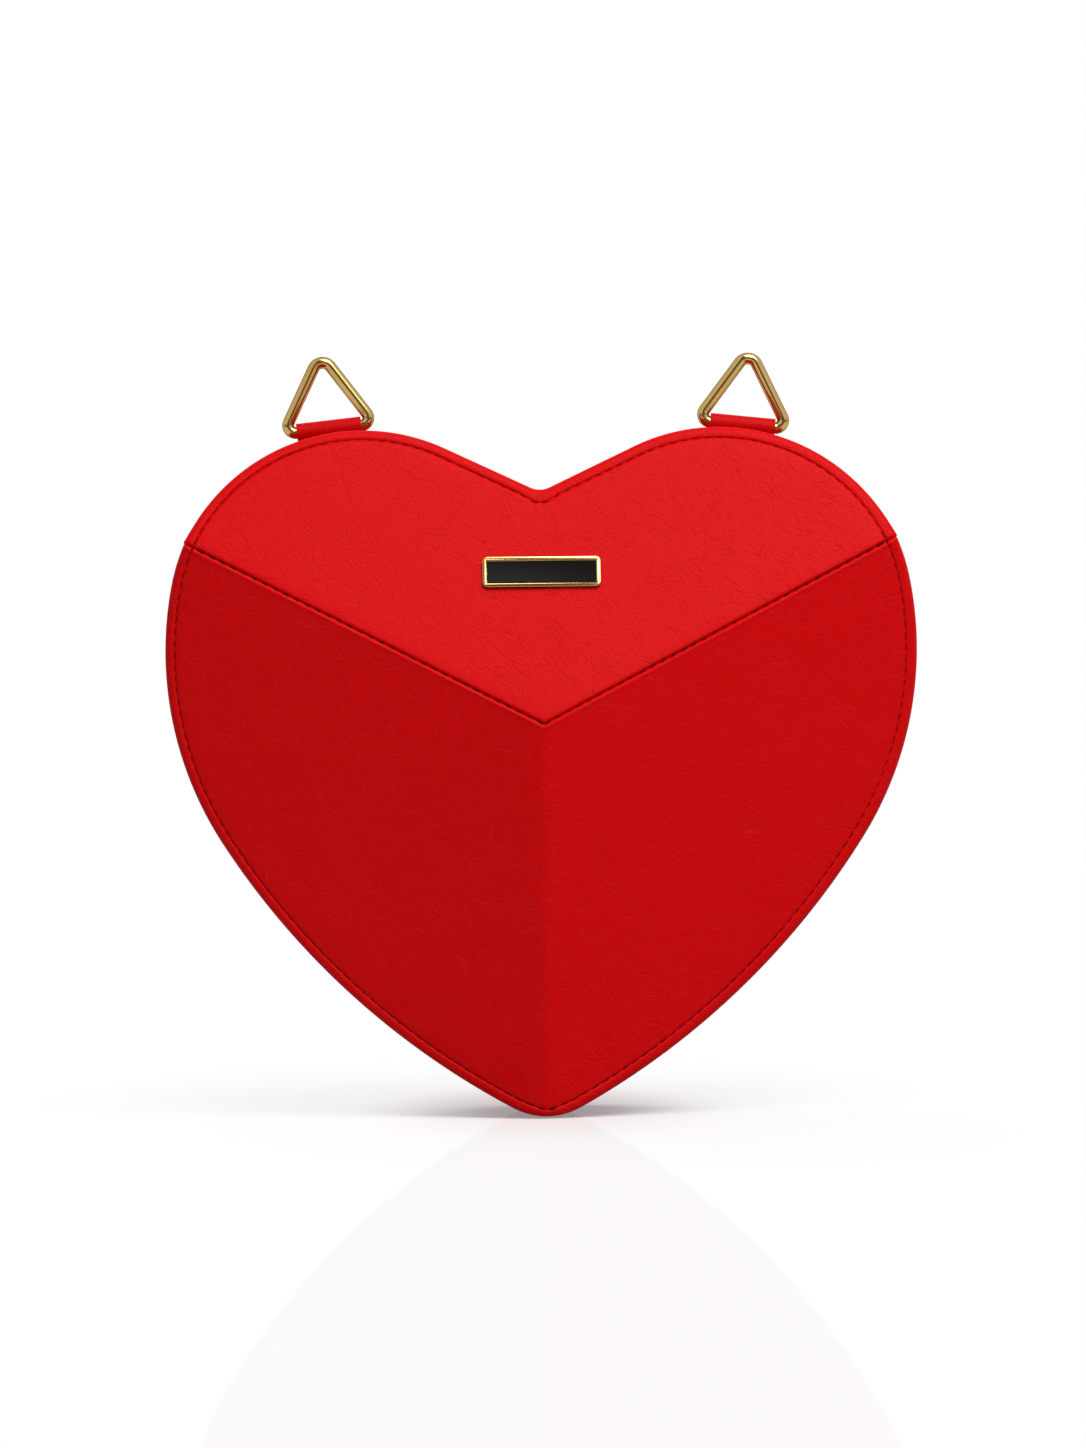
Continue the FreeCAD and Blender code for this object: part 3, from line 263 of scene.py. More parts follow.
def heartArcs():
    lobe = Vector((heart["lobeX"], 0, heart["lobeZ"]))
    hip = polar(lobe, heart["lobeRadius"] - heart["hipRadius"], heart["hipAngle"])
    tip = Vector((0, 0, heart["tipRadius"]))
    hipReach = heart["sideRadius"] - heart["hipRadius"]
    tipReach = heart["sideRadius"] - heart["tipRadius"]
    span = tip - hip
    along = (hipReach ** 2 - tipReach ** 2 + span.length ** 2) / (2 * span.length)
    unit = span.normalized()
    side = hip + unit * along + Vector((unit.z, 0, -unit.x)) * math.sqrt(hipReach ** 2 - along ** 2)
    cleft = Vector((0, 0, heart["cleftZ"] + heart["cleftRadius"]))
    span = cleft - lobe
    touch = (heart["lobeRadius"] + heart["cleftRadius"]) / span.length
    slope = math.degrees(math.atan2(span.z, span.x) - math.acos(touch))
    tipEnd = math.degrees(math.atan2((tip - side).z, (tip - side).x))
    lowEnd = math.degrees(math.atan2((hip - side).z, (hip - side).x))
    arcs = [(tip, heart["tipRadius"], -90, tipEnd), (side, heart["sideRadius"], tipEnd, lowEnd),
            (hip, heart["hipRadius"], lowEnd, heart["hipAngle"]),
            (lobe, heart["lobeRadius"], heart["hipAngle"], slope)]
    top = polar(lobe, heart["lobeRadius"], slope)
    low = polar(cleft, heart["cleftRadius"], slope + 180)
    return arcs, low - top, (cleft, heart["cleftRadius"], slope, 90)


def growVertex(bm, last, way, steps):
    for step in range(steps):
        last = bmesh.ops.extrude_vert_indiv(bm, verts=[last])["verts"][0]
        last.co += way / steps
    return last


def heartLoop(bm, inset, spacing):
    # the right half is one vertex spun round each arc in turn, then mirrored
    arcs, slopeLine, cleftArc = heartArcs()
    last = bm.verts.new((0, 0, inset))

    def spinLast(vertex, centre, radius, start, end):
        steps = max(2, round(math.radians(abs(end - start)) * radius / spacing))
        made = bmesh.ops.spin(bm, geom=[vertex], cent=centre, axis=(0, -1, 0), angle=math.radians(end - start),
                              steps=steps, use_duplicate=False)
        return made["geom_last"][0]

    for arc in arcs:
        last = spinLast(last, *arc)
    last = growVertex(bm, last, slopeLine, max(2, round(slopeLine.length / spacing)))
    last = spinLast(last, *cleftArc)
    last.co.x = 0
    bmesh.ops.mirror(bm, geom=bm.verts[:] + bm.edges[:], axis="X", merge_dist=0.01)
    return bm.edges[:]


def walkLoop(bm):
    # vertices of a closed wire in order, anticlockwise seen from the front, from the tip
    bm.verts.ensure_lookup_table()
    first = min(bm.verts, key=lambda v: v.co.z + abs(v.co.x))
    path = [first]
    nextOne = max((e.other_vert(first) for e in first.link_edges), key=lambda v: v.co.x)
    while nextOne is not first:
        path.append(nextOne)
        around = [e.other_vert(nextOne) for e in nextOne.link_edges]
        nextOne = [v for v in around if v is not path[-2]][0]
    return [v.co.copy() for v in path]


def heartPath(inset, pitch):
    # places a pitch apart along the outline, each with its direction
    bm = bmesh.new()
    heartLoop(bm, inset, outlineSizes["pathStep"])
    points = walkLoop(bm)
    bm.free()
    lengths = [(points[(i + 1) % len(points)] - p).length for i, p in enumerate(points)]
    count = round(sum(lengths) / pitch)
    step = sum(lengths) / count
    placed, run, want = [], 0, 0.5 * step
    for i, point in enumerate(points):
        while run + lengths[i] > want and len(placed) < count:
            onward = points[(i + 1) % len(points)] - point
            placed.append((point + onward * ((want - run) / lengths[i]), onward.normalized()))
            want += step
        run += lengths[i]
    return placed


outlineMesh = bmesh.new()
heartLoop(outlineMesh, 0, outlineSizes["fineStep"])
outline = walkLoop(outlineMesh)
outlineMesh.free()
outlineInward = []
outlineRun = [0.0]
outlineTree = kdtree.KDTree(len(outline))
for i, point in enumerate(outline):
    ahead = (outline[(i + 1) % len(outline)] - outline[i - 1]).normalized()
    outlineInward.append(Vector((-ahead.z, 0, ahead.x)))
    outlineRun.append(outlineRun[-1] + (outline[(i + 1) % len(outline)] - point).length)
    outlineTree.insert(point, i)
outlineTree.balance()
print("outline length in mm:", round(outlineRun[-1]))


def fromRim(point):
    index, distance = outlineTree.find((point.x, 0, point.z))[1:]
    return distance, index


# Front facets

facetRise = heart["apexRise"] / (heart["seamZ"] - heart["apexZ"])
ridgeDrop = heart["apexRise"] / heart["apexZ"]
ridgeLean = (heart["apexRise"] + ridgeDrop * (heart["seamZ"] - heart["apexZ"])) / heart["seamX"]
frontMost = -heart["rimDepth"] - heart["apexRise"]
seamAlong = Vector((heart["seamX"], 0, heart["seamZ"] - heart["apexZ"])).normalized()
seamUp = Vector((-seamAlong.z, 0, seamAlong.x))


def upperFacet(z):
    return frontMost + facetRise * (z - heart["apexZ"])


def lowerFacet(x, z, soft=0.0):
    return frontMost + ridgeLean * math.sqrt(x * x + soft * soft) + ridgeDrop * (heart["apexZ"] - z)


def frontSkin(x, z):
    return max(upperFacet(z), lowerFacet(x, z))


def frontInside(x, z):
    return frontSkin(x, z) + heart["lid"]


def fromSeam(point):
    return (Vector((abs(point.x), 0, point.z)) - Vector((0, 0, heart["apexZ"]))).dot(seamUp)


# Objects

def finishPiece(bm, name, body, material, replaces=(), place=drawnPlace, smooth=40, extra=()):
    bm.transform(place)
    mesh = bpy.data.meshes.new(name)
    bm.to_mesh(mesh)
    bm.free()
    for face in mesh.polygons:
        face.use_smooth = True
    mesh.set_sharp_from_angle(angle=math.radians(smooth))
    piece = bpy.data.objects.new(name, mesh)
    scene.collection.objects.link(piece)
    for each in (material, *extra):
        mesh.materials.append(each)
    if body:
        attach(piece, body)
    if replaces:
        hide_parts(*replaces)
    return piece


def allGeometry(bm):
    return bm.verts[:] + bm.edges[:] + bm.faces[:]


def cutPlane(bm, place, normal, keepFront=False):
    bmesh.ops.bisect_plane(bm, geom=allGeometry(bm), dist=0.0005, plane_co=place, plane_no=normal,
                           clear_inner=keepFront)


def cutGrid(bm, columns, rows):
    for x in columns:
        cutPlane(bm, (x, 0, 0), (1, 0, 0))
    for z in rows:
        cutPlane(bm, (0, 0, z), (0, 0, 1))


def edgesOf(geometry):
    return [each for each in geometry if isinstance(each, bmesh.types.BMEdge)]


def growEdges(bm, edges):
    made = bmesh.ops.extrude_edge_only(bm, edges=edges)["geom"]
    return [each for each in made if isinstance(each, bmesh.types.BMVert)], edgesOf(made)


def faceOutward(bm, direction):
    # direction gives the way out at a face's middle
    bmesh.ops.recalc_face_normals(bm, faces=bm.faces[:])
    if sum(f.normal.dot(direction(f.calc_center_median())) * f.calc_area() for f in bm.faces) < 0:
        bmesh.ops.reverse_faces(bm, faces=bm.faces[:])


def stitch(bm, place, along, outward, size):
    across = along.cross(outward).normalized()
    turn = Matrix((along.normalized() * size["length"] / 2, across * size["width"] / 2,
                   outward * size["height"] / 2)).transposed()
    bmesh.ops.create_uvsphere(bm, u_segments=8, v_segments=6, radius=1,
                              matrix=Matrix.Translation(place) @ turn.to_4x4())


# Front panels: leather drawn over a thin foam and boards, rolled at the rim, sewn down along the rim and the
# V seam
panelSizes = {
    "spacing": 0.85, "grid": 2.2, "gridStart": 2.4, "gridHalf": 106, "gridTop": 200,
    "leather": 0.8, "foam": 0.35, "foamReach": 9, "ridgeSoft": 1.3, "pitch": 3.3,
    "roll": 1.15, "rollWidth": 1.5, "rollCurve": 2.3,
    "ditch": 2.95, "ditchShift": 0.3, "halfWidth": 105, "ditchDeep": 0.42, "ditchWide": 0.3, "dip": (0.14, 1.2),
    "tipTurn": -0.9, "cleftTurn": 0.9, "turnWidth": 3.5,
    "seamDeep": 0.85, "seamWide": 0.42, "upperDip": (0.32, 1.5), "lowerDip": (0.1, 3), "welt": (0.2, 1.0, 0.5),
    "waveScale": 0.045, "wave": 0.13, "rippleScale": 0.12, "rippleFrom": (7, 3, 1), "ripple": 0.03, "calmRim": 6,
    "pleat": 0.45, "pleatAside": 1.4, "pleatWide": 0.6, "pleatTall": 5,
    "proud": 0.35, "proudAlong": 3, "proudWide": 2,
    "rimRows": [0, 0.25, 0.6, 1.1, 1.6, 1.95, 2.25, 2.5, 2.7, 2.9, 3.1, 3.3, 3.55, 3.8, 4.1, 4.5, 5.4],
    "seamRows": [0.2, 0.4, 0.65, 1.0, 1.5, 2.2, 3.4],
    "ridgeRows": [0.5, 1.0, 1.6, 2.4, 3.4],
    "edge": [(-0.05, 2.0), (0.15, 2.7), (0.7, 3.15), (1.6, 3.22), (4.6, 3.22)],
}


def ditchShift(point):
    # the row of stitches lies a little further in on the right side, and it turns sharply at the tip and the cleft
    turn = panelSizes["cleftTurn"] if point.z > heart["apexZ"] else panelSizes["tipTurn"]
    sideways = panelSizes["ditchShift"] * point.x / panelSizes["halfWidth"]
    return sideways + turn * math.exp(-(point.x / panelSizes["turnWidth"]) ** 2)


def rimDrop(point, distance):
    sizes = panelSizes
    inner = distance - sizes["ditch"] - ditchShift(point)
    dip, dipWide = sizes["dip"]
    drop = sizes["roll"] * max(0.0, 1 - distance / sizes["rollWidth"]) ** sizes["rollCurve"]
    drop += sizes["ditchDeep"] * math.exp(-(inner / sizes["ditchWide"]) ** 2)
    drop += dip * math.exp(-abs(inner) / dipWide)
    return drop - sizes["foam"] * (1 - math.exp(-max(0.0, inner) / sizes["foamReach"]))


def seamDrop(distance, upper):
    dip, dipWide = panelSizes["upperDip" if upper else "lowerDip"]
    drop = panelSizes["seamDeep"] * math.exp(-(distance / panelSizes["seamWide"]) ** 2)
    drop += dip * math.exp(-distance / dipWide)
    if upper:
        return drop
    welt, weltIn, weltWide = panelSizes["welt"]
    return drop - welt * math.exp(-((distance - weltIn) / weltWide) ** 2)


def heartSheet(bm, rimRows):
    faces = bmesh.ops.edgeloop_fill(bm, edges=heartLoop(bm, 0, panelSizes["spacing"]))["faces"]
    for near, far in zip(rimRows, rimRows[1:]):
        bmesh.ops.inset_region(bm, faces=faces, thickness=far - near, use_even_offset=True, use_boundary=True)


def thicken(piece, leather):
    shell = piece.modifiers.new("leather", "SOLIDIFY")
    shell.thickness = leather / 1000
    shell.offset = -1
    shell.use_even_offset = False


def wrapEdge(bm, depth, way):
    # the leather turns round the lid's edge and back under it
    onSeam = 0.01
    edges = [e for e in bm.edges if e.is_boundary and any(abs(fromSeam(v.co)) > onSeam for v in e.verts)]
    before = 0
    for inset, drop in panelSizes["edge"]:
        verts, edges = growEdges(bm, edges)
        for v in verts:
            v.co += outlineInward[fromRim(v.co)[1]] * (inset - before)
            v.co.y = depth(v.co.x, v.co.z) + way * drop
        before = inset


def frontPanel(name, upper, node):
    sizes = panelSizes
    bm = bmesh.new()
    heartSheet(bm, sizes["rimRows"])
    cutPlane(bm, (0, 0, 0), (1, 0, 0), True)
    way = 1 if upper else -1
    apex = Vector((0, 0, heart["apexZ"]))
    cutPlane(bm, apex, seamUp * way, True)
    for row in sizes["seamRows"]:
        cutPlane(bm, apex + seamUp * way * row, seamUp)
    if not upper:
        cutGrid(bm, sizes["ridgeRows"], ())
    low = heart["apexZ"] if upper else 0
    step = sizes["grid"]
    cutGrid(bm, [sizes["gridStart"] + i * step for i in range(1, int(sizes["gridHalf"] / step))],
            [low + (i + 0.5) * step for i in range(int((sizes["gridTop"] - low) / step))])
    bmesh.ops.mirror(bm, geom=allGeometry(bm), axis="X", merge_dist=0.002)
    bmesh.ops.remove_doubles(bm, verts=bm.verts[:], dist=0.01)
    for v in bm.verts:
        distance = fromRim(v.co)[0]
        depth = upperFacet(v.co.z) if upper else lowerFacet(v.co.x, v.co.z, sizes["ridgeSoft"])
        spot = Vector((v.co.x, depth, v.co.z))
        wave = noise.noise(spot * sizes["waveScale"]) * sizes["wave"]
        wave += noise.noise(spot * sizes["rippleScale"] + Vector(sizes["rippleFrom"])) * sizes["ripple"]
        aside = (v.co.x - sizes["pleatAside"]) / sizes["pleatWide"]
        pleat = sizes["pleat"] * math.exp(-aside ** 2 - v.co.z / sizes["pleatTall"])
        sewn = rimDrop(v.co, distance) + seamDrop(abs(fromSeam(v.co)), upper)
        v.co.y = depth + sewn + pleat + wave * min(1, distance / sizes["calmRim"])
    wrapEdge(bm, frontSkin, 1)
    if upper:
        # the ends of the upper panel's rim stand a little proud of the lower panel's
        for v in bm.verts:
            distance, index = fromRim(v.co)
            proud = sizes["proud"] * math.exp(-abs(fromSeam(v.co)) / sizes["proudAlong"])
            v.co -= outlineInward[index] * proud * max(0.0, 1 - distance / sizes["proudWide"])
    faceOutward(bm, lambda middle: Vector((0, -1, 0)))
    # the lower panels take the copy with painted highlight in the creases
    leather = panelLeather if upper else lowerPanelLeatherPaintedHighlight
    piece = finishPiece(bm, name, "front_half", leather, (node,), smooth=70)
    thicken(piece, sizes["leather"])
    return piece


upperLeather = frontPanel("upper_leather", True, "front_upper_panel")
lowerLeather = frontPanel("lower_leather", False, "front_lower_panel")
print("front leather:", len(upperLeather.data.polygons), len(lowerLeather.data.polygons))

# Rim and V seam stitches
threadSizes = {"length": 2.8, "width": 0.52, "height": 0.4, "lie": 0.62, "cleftLie": 0.46}
pitch = panelSizes["pitch"]


def rimStitches(name, body, depth, way):
    bm = bmesh.new()
    row = [point + Vector((-along.z, 0, along.x)) * ditchShift(point)
           for point, along in heartPath(panelSizes["ditch"], pitch)]
    for i, point in enumerate(row):
        along = (row[(i + 1) % len(row)] - row[i - 1]).normalized()
        ahead = point + along
        tangent = Vector((along.x, depth(ahead.x, ahead.z) - depth(point.x, point.z), along.z))
        atCleft = point.z > heart["apexZ"] and abs(point.x) < panelSizes["turnWidth"]
        lie = threadSizes["cleftLie"] if atCleft else threadSizes["lie"]
        place = Vector((point.x, depth(point.x, point.z) + way * lie, point.z))
        stitch(bm, place, tangent, Vector((0, -way, 0)), threadSizes)
    finishPiece(bm, name, body, seamThreadPaintedShade)


rimStitches("front_rim_stitches", "front_half", frontSkin, 1)
bm = bmesh.new()
seamLength = Vector((heart["seamX"], 0, heart["seamZ"] - heart["apexZ"])).length
for side in (-1, 1):
    for i in range(int(seamLength / pitch)):
        spot = Vector((0, 0, heart["apexZ"])) + seamAlong * ((i + 0.5) * pitch)
        along = Vector((side * seamAlong.x, upperFacet(spot.z + 1) - upperFacet(spot.z), seamAlong.z))
        place = Vector((side * spot.x, upperFacet(spot.z) + threadSizes["lie"], spot.z))
        stitch(bm, place, along, Vector((0, -1, 0)), threadSizes)
finishPiece(bm, "seam_stitches", "front_half", seamThreadPaintedShade)
print("stitches sewn")

# Back panel: flat, same make
backSizes = {"grid": 3.0, "columns": 35, "rows": 65, "waveScale": 0.045, "waveFrom": (20, 5, 9), "wave": 0.2}


def backSkin(x, z):
    return 0.0


bm = bmesh.new()
heartSheet(bm, panelSizes["rimRows"])
cutGrid(bm, [i * backSizes["grid"] for i in range(-backSizes["columns"], backSizes["columns"] + 1)],
        [i * backSizes["grid"] for i in range(1, backSizes["rows"] + 1)])
for v in bm.verts:
    distance = fromRim(v.co)[0]
    wave = noise.noise(v.co * backSizes["waveScale"] + Vector(backSizes["waveFrom"])) * backSizes["wave"]
    v.co.y = -rimDrop(v.co, distance) + wave * min(1, distance / panelSizes["calmRim"])
wrapEdge(bm, backSkin, -1)
faceOutward(bm, lambda middle: Vector((0, 1, 0)))
backLeather = finishPiece(bm, "back_leather", "back_half", panelLeather, ("back_panel",),
                          smooth=70)
thicken(backLeather, panelSizes["leather"])
rimStitches("back_rim_stitches", "back_half", backSkin, -1)
print("back leather:", len(backLeather.data.polygons))

# Gusset strips, tapes and linings run along the outline at their own inset
heartMiddle = Vector((0, 0, 105))


def wayOut(middle):
    return (Vector((middle.x, 0, middle.z)) - heartMiddle).normalized()


def strip(inset, spacing, rows, backEdge, frontEdge, base):
    bm = bmesh.new()
    edges = heartLoop(bm, inset, spacing)
    for v in bm.verts:
        v.co.y = backEdge(v.co.x, v.co.z)
    for row in rows[1:]:
        verts, edges = growEdges(bm, edges)
        for v in verts:
            start, end = backEdge(v.co.x, v.co.z), frontEdge(v.co.x, v.co.z)
            v.co.y = start + (end - start) * row
    for side in (-1, 1):
        cutPlane(bm, (side * heart["baseHalf"], 0, 0), (1, 0, 0))
    middles = [(f, f.calc_center_median()) for f in bm.faces]
    atBase = {f for f, spot in middles if abs(spot.x) < heart["baseHalf"] and spot.z < heart["apexZ"]}
    unwanted = [f for f in bm.faces if (f in atBase) != base]
    bmesh.ops.delete(bm, geom=unwanted, context="FACES")
    faceOutward(bm, wayOut)
    return bm


def shapeStrip(bm, across):
    # across gives how far a point moves inwards for its place between the strip's edges
    for v in bm.verts:
        index = fromRim(v.co)[1]
        v.co += outlineInward[index] * across(v.co)


def flatStrip(bm):
    # a strip's cut: its widest part, its length along one edge, and its area
    width = max(v.co.y for v in bm.verts) - min(v.co.y for v in bm.verts)
    area = sum(f.calc_area() for f in bm.faces)
    # the edges along the strip, without its two ends, which are steeper
    steep = 0.7
    rims = [e for e in bm.edges
            if e.is_boundary and abs(e.verts[0].co.y - e.verts[1].co.y) < steep * e.calc_length()]
    length = max(sum(e.calc_length() for e in rims) / 2, area / width)
    return {"flat": (width / 1000, length / 1000), "area": area / 1000000}


def flatCut(bm):
    across = [max(v.co[i] for v in bm.verts) - min(v.co[i] for v in bm.verts) for i in (0, 2)]
    area = sum(f.calc_area() for f in bm.faces)
    return {"flat": (across[0] / 1000, across[1] / 1000), "area": area / 1000000}


def finishSheet(bm, cut, thick, name, body, material, node):
    bmesh.ops.solidify(bm, geom=bm.faces[:], thickness=thick)
    piece = finishPiece(bm, name, body, material, (node,), smooth=60)
    return piece


gussetSizes = {
    "inset": 3.0, "leather": 1.3, "spacing": 1.6, "sag": 0.5, "rumpleScale": 0.06, "rumple": 0.25,
    "stitchIn": 2.4, "stitchDeep": 0.35, "stitchWide": 0.5, "fold": 0.3, "foldWide": 0.4,
    "threadSink": 0.15, "endClear": 1,
    "rows": [0, 0.04, 0.1, 0.2, 0.35, 0.5, 0.65, 0.8, 0.9, 0.96, 1.0],
}
backWindow = -(heart["zipperY"] - heart["window"] / 2)
frontWindow = -(heart["zipperY"] + heart["window"] / 2)


def backInside(x, z):
    return -heart["lid"]


def atFrontWindow(x, z):
    return frontWindow


def atBackWindow(x, z):
    return backWindow


def gussetStrip(name, body, backEdge, frontEdge, base, node, window):
    sizes = gussetSizes
    bm = strip(sizes["inset"], sizes["spacing"], sizes["rows"], backEdge, frontEdge, base)

    def sink(point):
        start, end = backEdge(point.x, point.z), frontEdge(point.x, point.z)
        part = (point.y - start) / (end - start)
        rumple = noise.noise(point * sizes["rumpleScale"]) * sizes["rumple"]
        inward = sizes["sag"] * math.sin(math.pi * part) + rumple * math.sin(math.pi * part)
        if window is not None:
            gap = abs(point.y - window)
            inward += sizes["stitchDeep"] * math.exp(-((gap - sizes["stitchIn"]) / sizes["stitchWide"]) ** 2)
            inward += sizes["fold"] * math.exp(-gap / sizes["foldWide"])
        return inward

    cut = flatStrip(bm)
    shapeStrip(bm, sink)
    return finishSheet(bm, cut, sizes["leather"], name, body, gussetLeather, node)


gussetStrip("front_gusset_leather", "front_half", atFrontWindow, frontInside, False, "front_gusset", frontWindow)
gussetStrip("back_gusset_leather", "back_half", backInside, atBackWindow, False, "back_gusset", backWindow)
baseLeather = gussetStrip("base_gusset_leather", None, backInside, frontInside, True, "base_gusset", None)
print("gusset cut")

stitchIn = gussetSizes["stitchIn"]
for half, level in (("back", backWindow + stitchIn), ("front", frontWindow - stitchIn)):
    bm = bmesh.new()
    for point, along in heartPath(gussetSizes["inset"], pitch):
        if abs(point.x) < heart["baseHalf"] + gussetSizes["endClear"] and point.z < heart["apexZ"]:
            continue
        outward = Vector((along.z, 0, -along.x))
        place = Vector((point.x, level, point.z)) - outward * gussetSizes["threadSink"]
        stitch(bm, place, along, outward, threadSizes)
    finishPiece(bm, f"{half}_window_stitches", f"{half}_half", seamThreadPaintedShade)

clothSizes = {
    "inset": 5.05, "thick": 0.6, "rows": [0, 0.25, 0.5, 0.75, 1.0], "spacing": 2.5,
    "lidInset": 5.85, "lidSpacing": 2.0, "lidThick": 0.5, "lidGrid": 4.0, "lidColumns": 26, "lidRows": 49,
    "lift": 0.65, "rippleScale": 0.08, "rippleFrom": (3, 8, 2), "ripple": 0.12, "hingeHalf": 0.012,
}
# the teeth are clamped over the tape's edge, which fills the gaps between them
tapeSizes = {"inset": 4.42, "thick": 0.55, "edge": 0.7, "width": 12.0}


def clothStrip(name, body, sizes, backEdge, frontEdge, base, node, material):
    bm = strip(sizes["inset"], clothSizes["spacing"], clothSizes["rows"], backEdge, frontEdge, base)
    return finishSheet(bm, flatStrip(bm), sizes["thick"], name, body, material, node)


def liningStrip(name, body, backEdge, frontEdge, base, node):
    return clothStrip(name, body, clothSizes, backEdge, frontEdge, base, node, liningCloth)


def tapeStrip(half, backShift, frontShift):
    clothStrip(f"{half}_tape_cloth", f"{half}_half", tapeSizes, lambda x, z: -heart["zipperY"] + backShift,
               lambda x, z: -heart["zipperY"] + frontShift, False, f"{half}_zipper_tape", tapeCloth)


liningStrip("front_gusset_cloth", "front_half", atFrontWindow, frontInside, False, "front_gusset_lining")
liningStrip("back_gusset_cloth", "back_half", backInside, atBackWindow, False, "back_gusset_lining")
baseCloth = liningStrip("base_gusset_cloth", None, backInside, frontInside, True, "base_lining")
tapeStrip("front", -tapeSizes["edge"], -tapeSizes["width"])
tapeStrip("back", tapeSizes["width"], tapeSizes["edge"])
for piece in (baseLeather, baseCloth):
    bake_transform(piece)
print("linings and tapes laid")


# Flat linings of the two lids and the slip pocket
def lidLining(name, body, depth, node, outward):
    sizes = clothSizes
    bm = bmesh.new()
    bmesh.ops.edgeloop_fill(bm, edges=heartLoop(bm, sizes["lidInset"], sizes["lidSpacing"]))
    cutGrid(bm, [i * sizes["lidGrid"] for i in range(-sizes["lidColumns"], sizes["lidColumns"] + 1)],
            [i * sizes["lidGrid"] for i in range(1, sizes["lidRows"] + 1)])
    if outward.y > 0:
        for side in (-1, 1):
            cutPlane(bm, (0, 0, heart["apexZ"]), Vector((side * seamUp.x, 0, seamUp.z)))
    for v in bm.verts:
        ripple = noise.noise(v.co * sizes["rippleScale"] + Vector(sizes["rippleFrom"])) * sizes["ripple"]
        v.co.y = depth(v.co.x, v.co.z) + outward.y * sizes["lift"] + ripple
    faceOutward(bm, lambda middle: outward)
    finishSheet(bm, flatCut(bm), sizes["lidThick"], name, body, liningCloth, node)


lidLining("front_lining_cloth", "front_half", frontInside, "front_lining", Vector((0, 1, 0)))
lidLining("back_lining_cloth", "back_half", backInside, "back_lining", Vector((0, -1, 0)))

pocketSizes = {"width": 104.0, "height": 62.0, "bottom": 62.0, "corner": 12.0, "slack": 0.9, "slackReach": 18,
               "grid": 4.0, "columns": 12, "rows": 15, "lie": 1.0, "thick": 0.5, "threadLie": 1.6, "threadIn": 2.0}
pocketHalf = pocketSizes["width"] / 2
pocketLow = pocketSizes["bottom"]
pocketTop = pocketLow + pocketSizes["height"]
bm = bmesh.new()
bmesh.ops.create_grid(bm, x_segments=2, y_segments=2, size=0.5,
                      matrix=Matrix.Rotation(math.radians(90), 4, "X"))
bmesh.ops.scale(bm, vec=(pocketSizes["width"], 1, pocketSizes["height"]), verts=bm.verts[:])
bmesh.ops.translate(bm, vec=(0, 0, pocketLow + pocketSizes["height"] / 2), verts=bm.verts[:])
corners = [v for v in bm.verts if v.co.z < pocketLow + 1 and abs(v.co.x) > 1]
bmesh.ops.bevel(bm, geom=corners, offset=pocketSizes["corner"], affect="VERTICES", segments=8, profile=0.5,
                material=-1)
cutGrid(bm, [i * pocketSizes["grid"] for i in range(-pocketSizes["columns"], pocketSizes["columns"] + 1)],
        [pocketLow + i * pocketSizes["grid"] for i in range(1, pocketSizes["rows"] + 1)])
for v in bm.verts:
    fromSide = min(pocketHalf - abs(v.co.x), v.co.z - pocketLow)
    slack = pocketSizes["slack"] * min(1, max(0, fromSide) / pocketSizes["slackReach"])
    v.co.y = -heart["lid"] - pocketSizes["lie"] - slack * (v.co.z - pocketLow) / pocketSizes["height"]
faceOutward(bm, lambda middle: Vector((0, -1, 0)))
pocketCut = flatCut(bm)
bmesh.ops.solidify(bm, geom=bm.faces[:], thickness=-pocketSizes["thick"])
pocketCloth = finishPiece(bm, "slip_pocket_cloth", "back_half", liningCloth, ("slip_pocket",),
                          smooth=60)
bm = bmesh.new()
threadY = -heart["lid"] - pocketSizes["threadLie"]
for i in range(int(pocketSizes["height"] / pitch)):
    for side in (-1, 1):
        place = Vector((side * (pocketHalf - pocketSizes["threadIn"]), threadY,
                        pocketTop - (i + 0.5) * pitch))
        if place.z > pocketLow + pocketSizes["corner"]:
            stitch(bm, place, Vector((0, 0, 1)), Vector((0, -1, 0)), threadSizes)
for i in range(int((pocketSizes["width"] - 2 * pocketSizes["corner"]) / pitch)):
    across = -pocketHalf + pocketSizes["corner"] + (i + 0.5) * pitch
    place = Vector((across, threadY, pocketLow + pocketSizes["threadIn"]))
    stitch(bm, place, Vector((1, 0, 0)), Vector((0, -1, 0)), threadSizes)
finishPiece(bm, "pocket_stitches", "back_half", seamThreadPaintedShade)
print("inside lined")

# Strap rings: round wire, spun round each corner
ringSizes = {"wire": 1.7, "half": 9.5, "corner": 2.2, "apex": 2.9, "height": 19.4,
             "sides": 24, "barSteps": 3, "legSteps": 8, "cornerSteps": 12}


def barPlace(side):
    tilt = side * math.radians(heart["tabTilt"])
    return Matrix.Translation((side * barX / 1000, 0, 0)) @ Matrix.Rotation(tilt, 4, "Y") @ Matrix.Scale(0.001, 4)


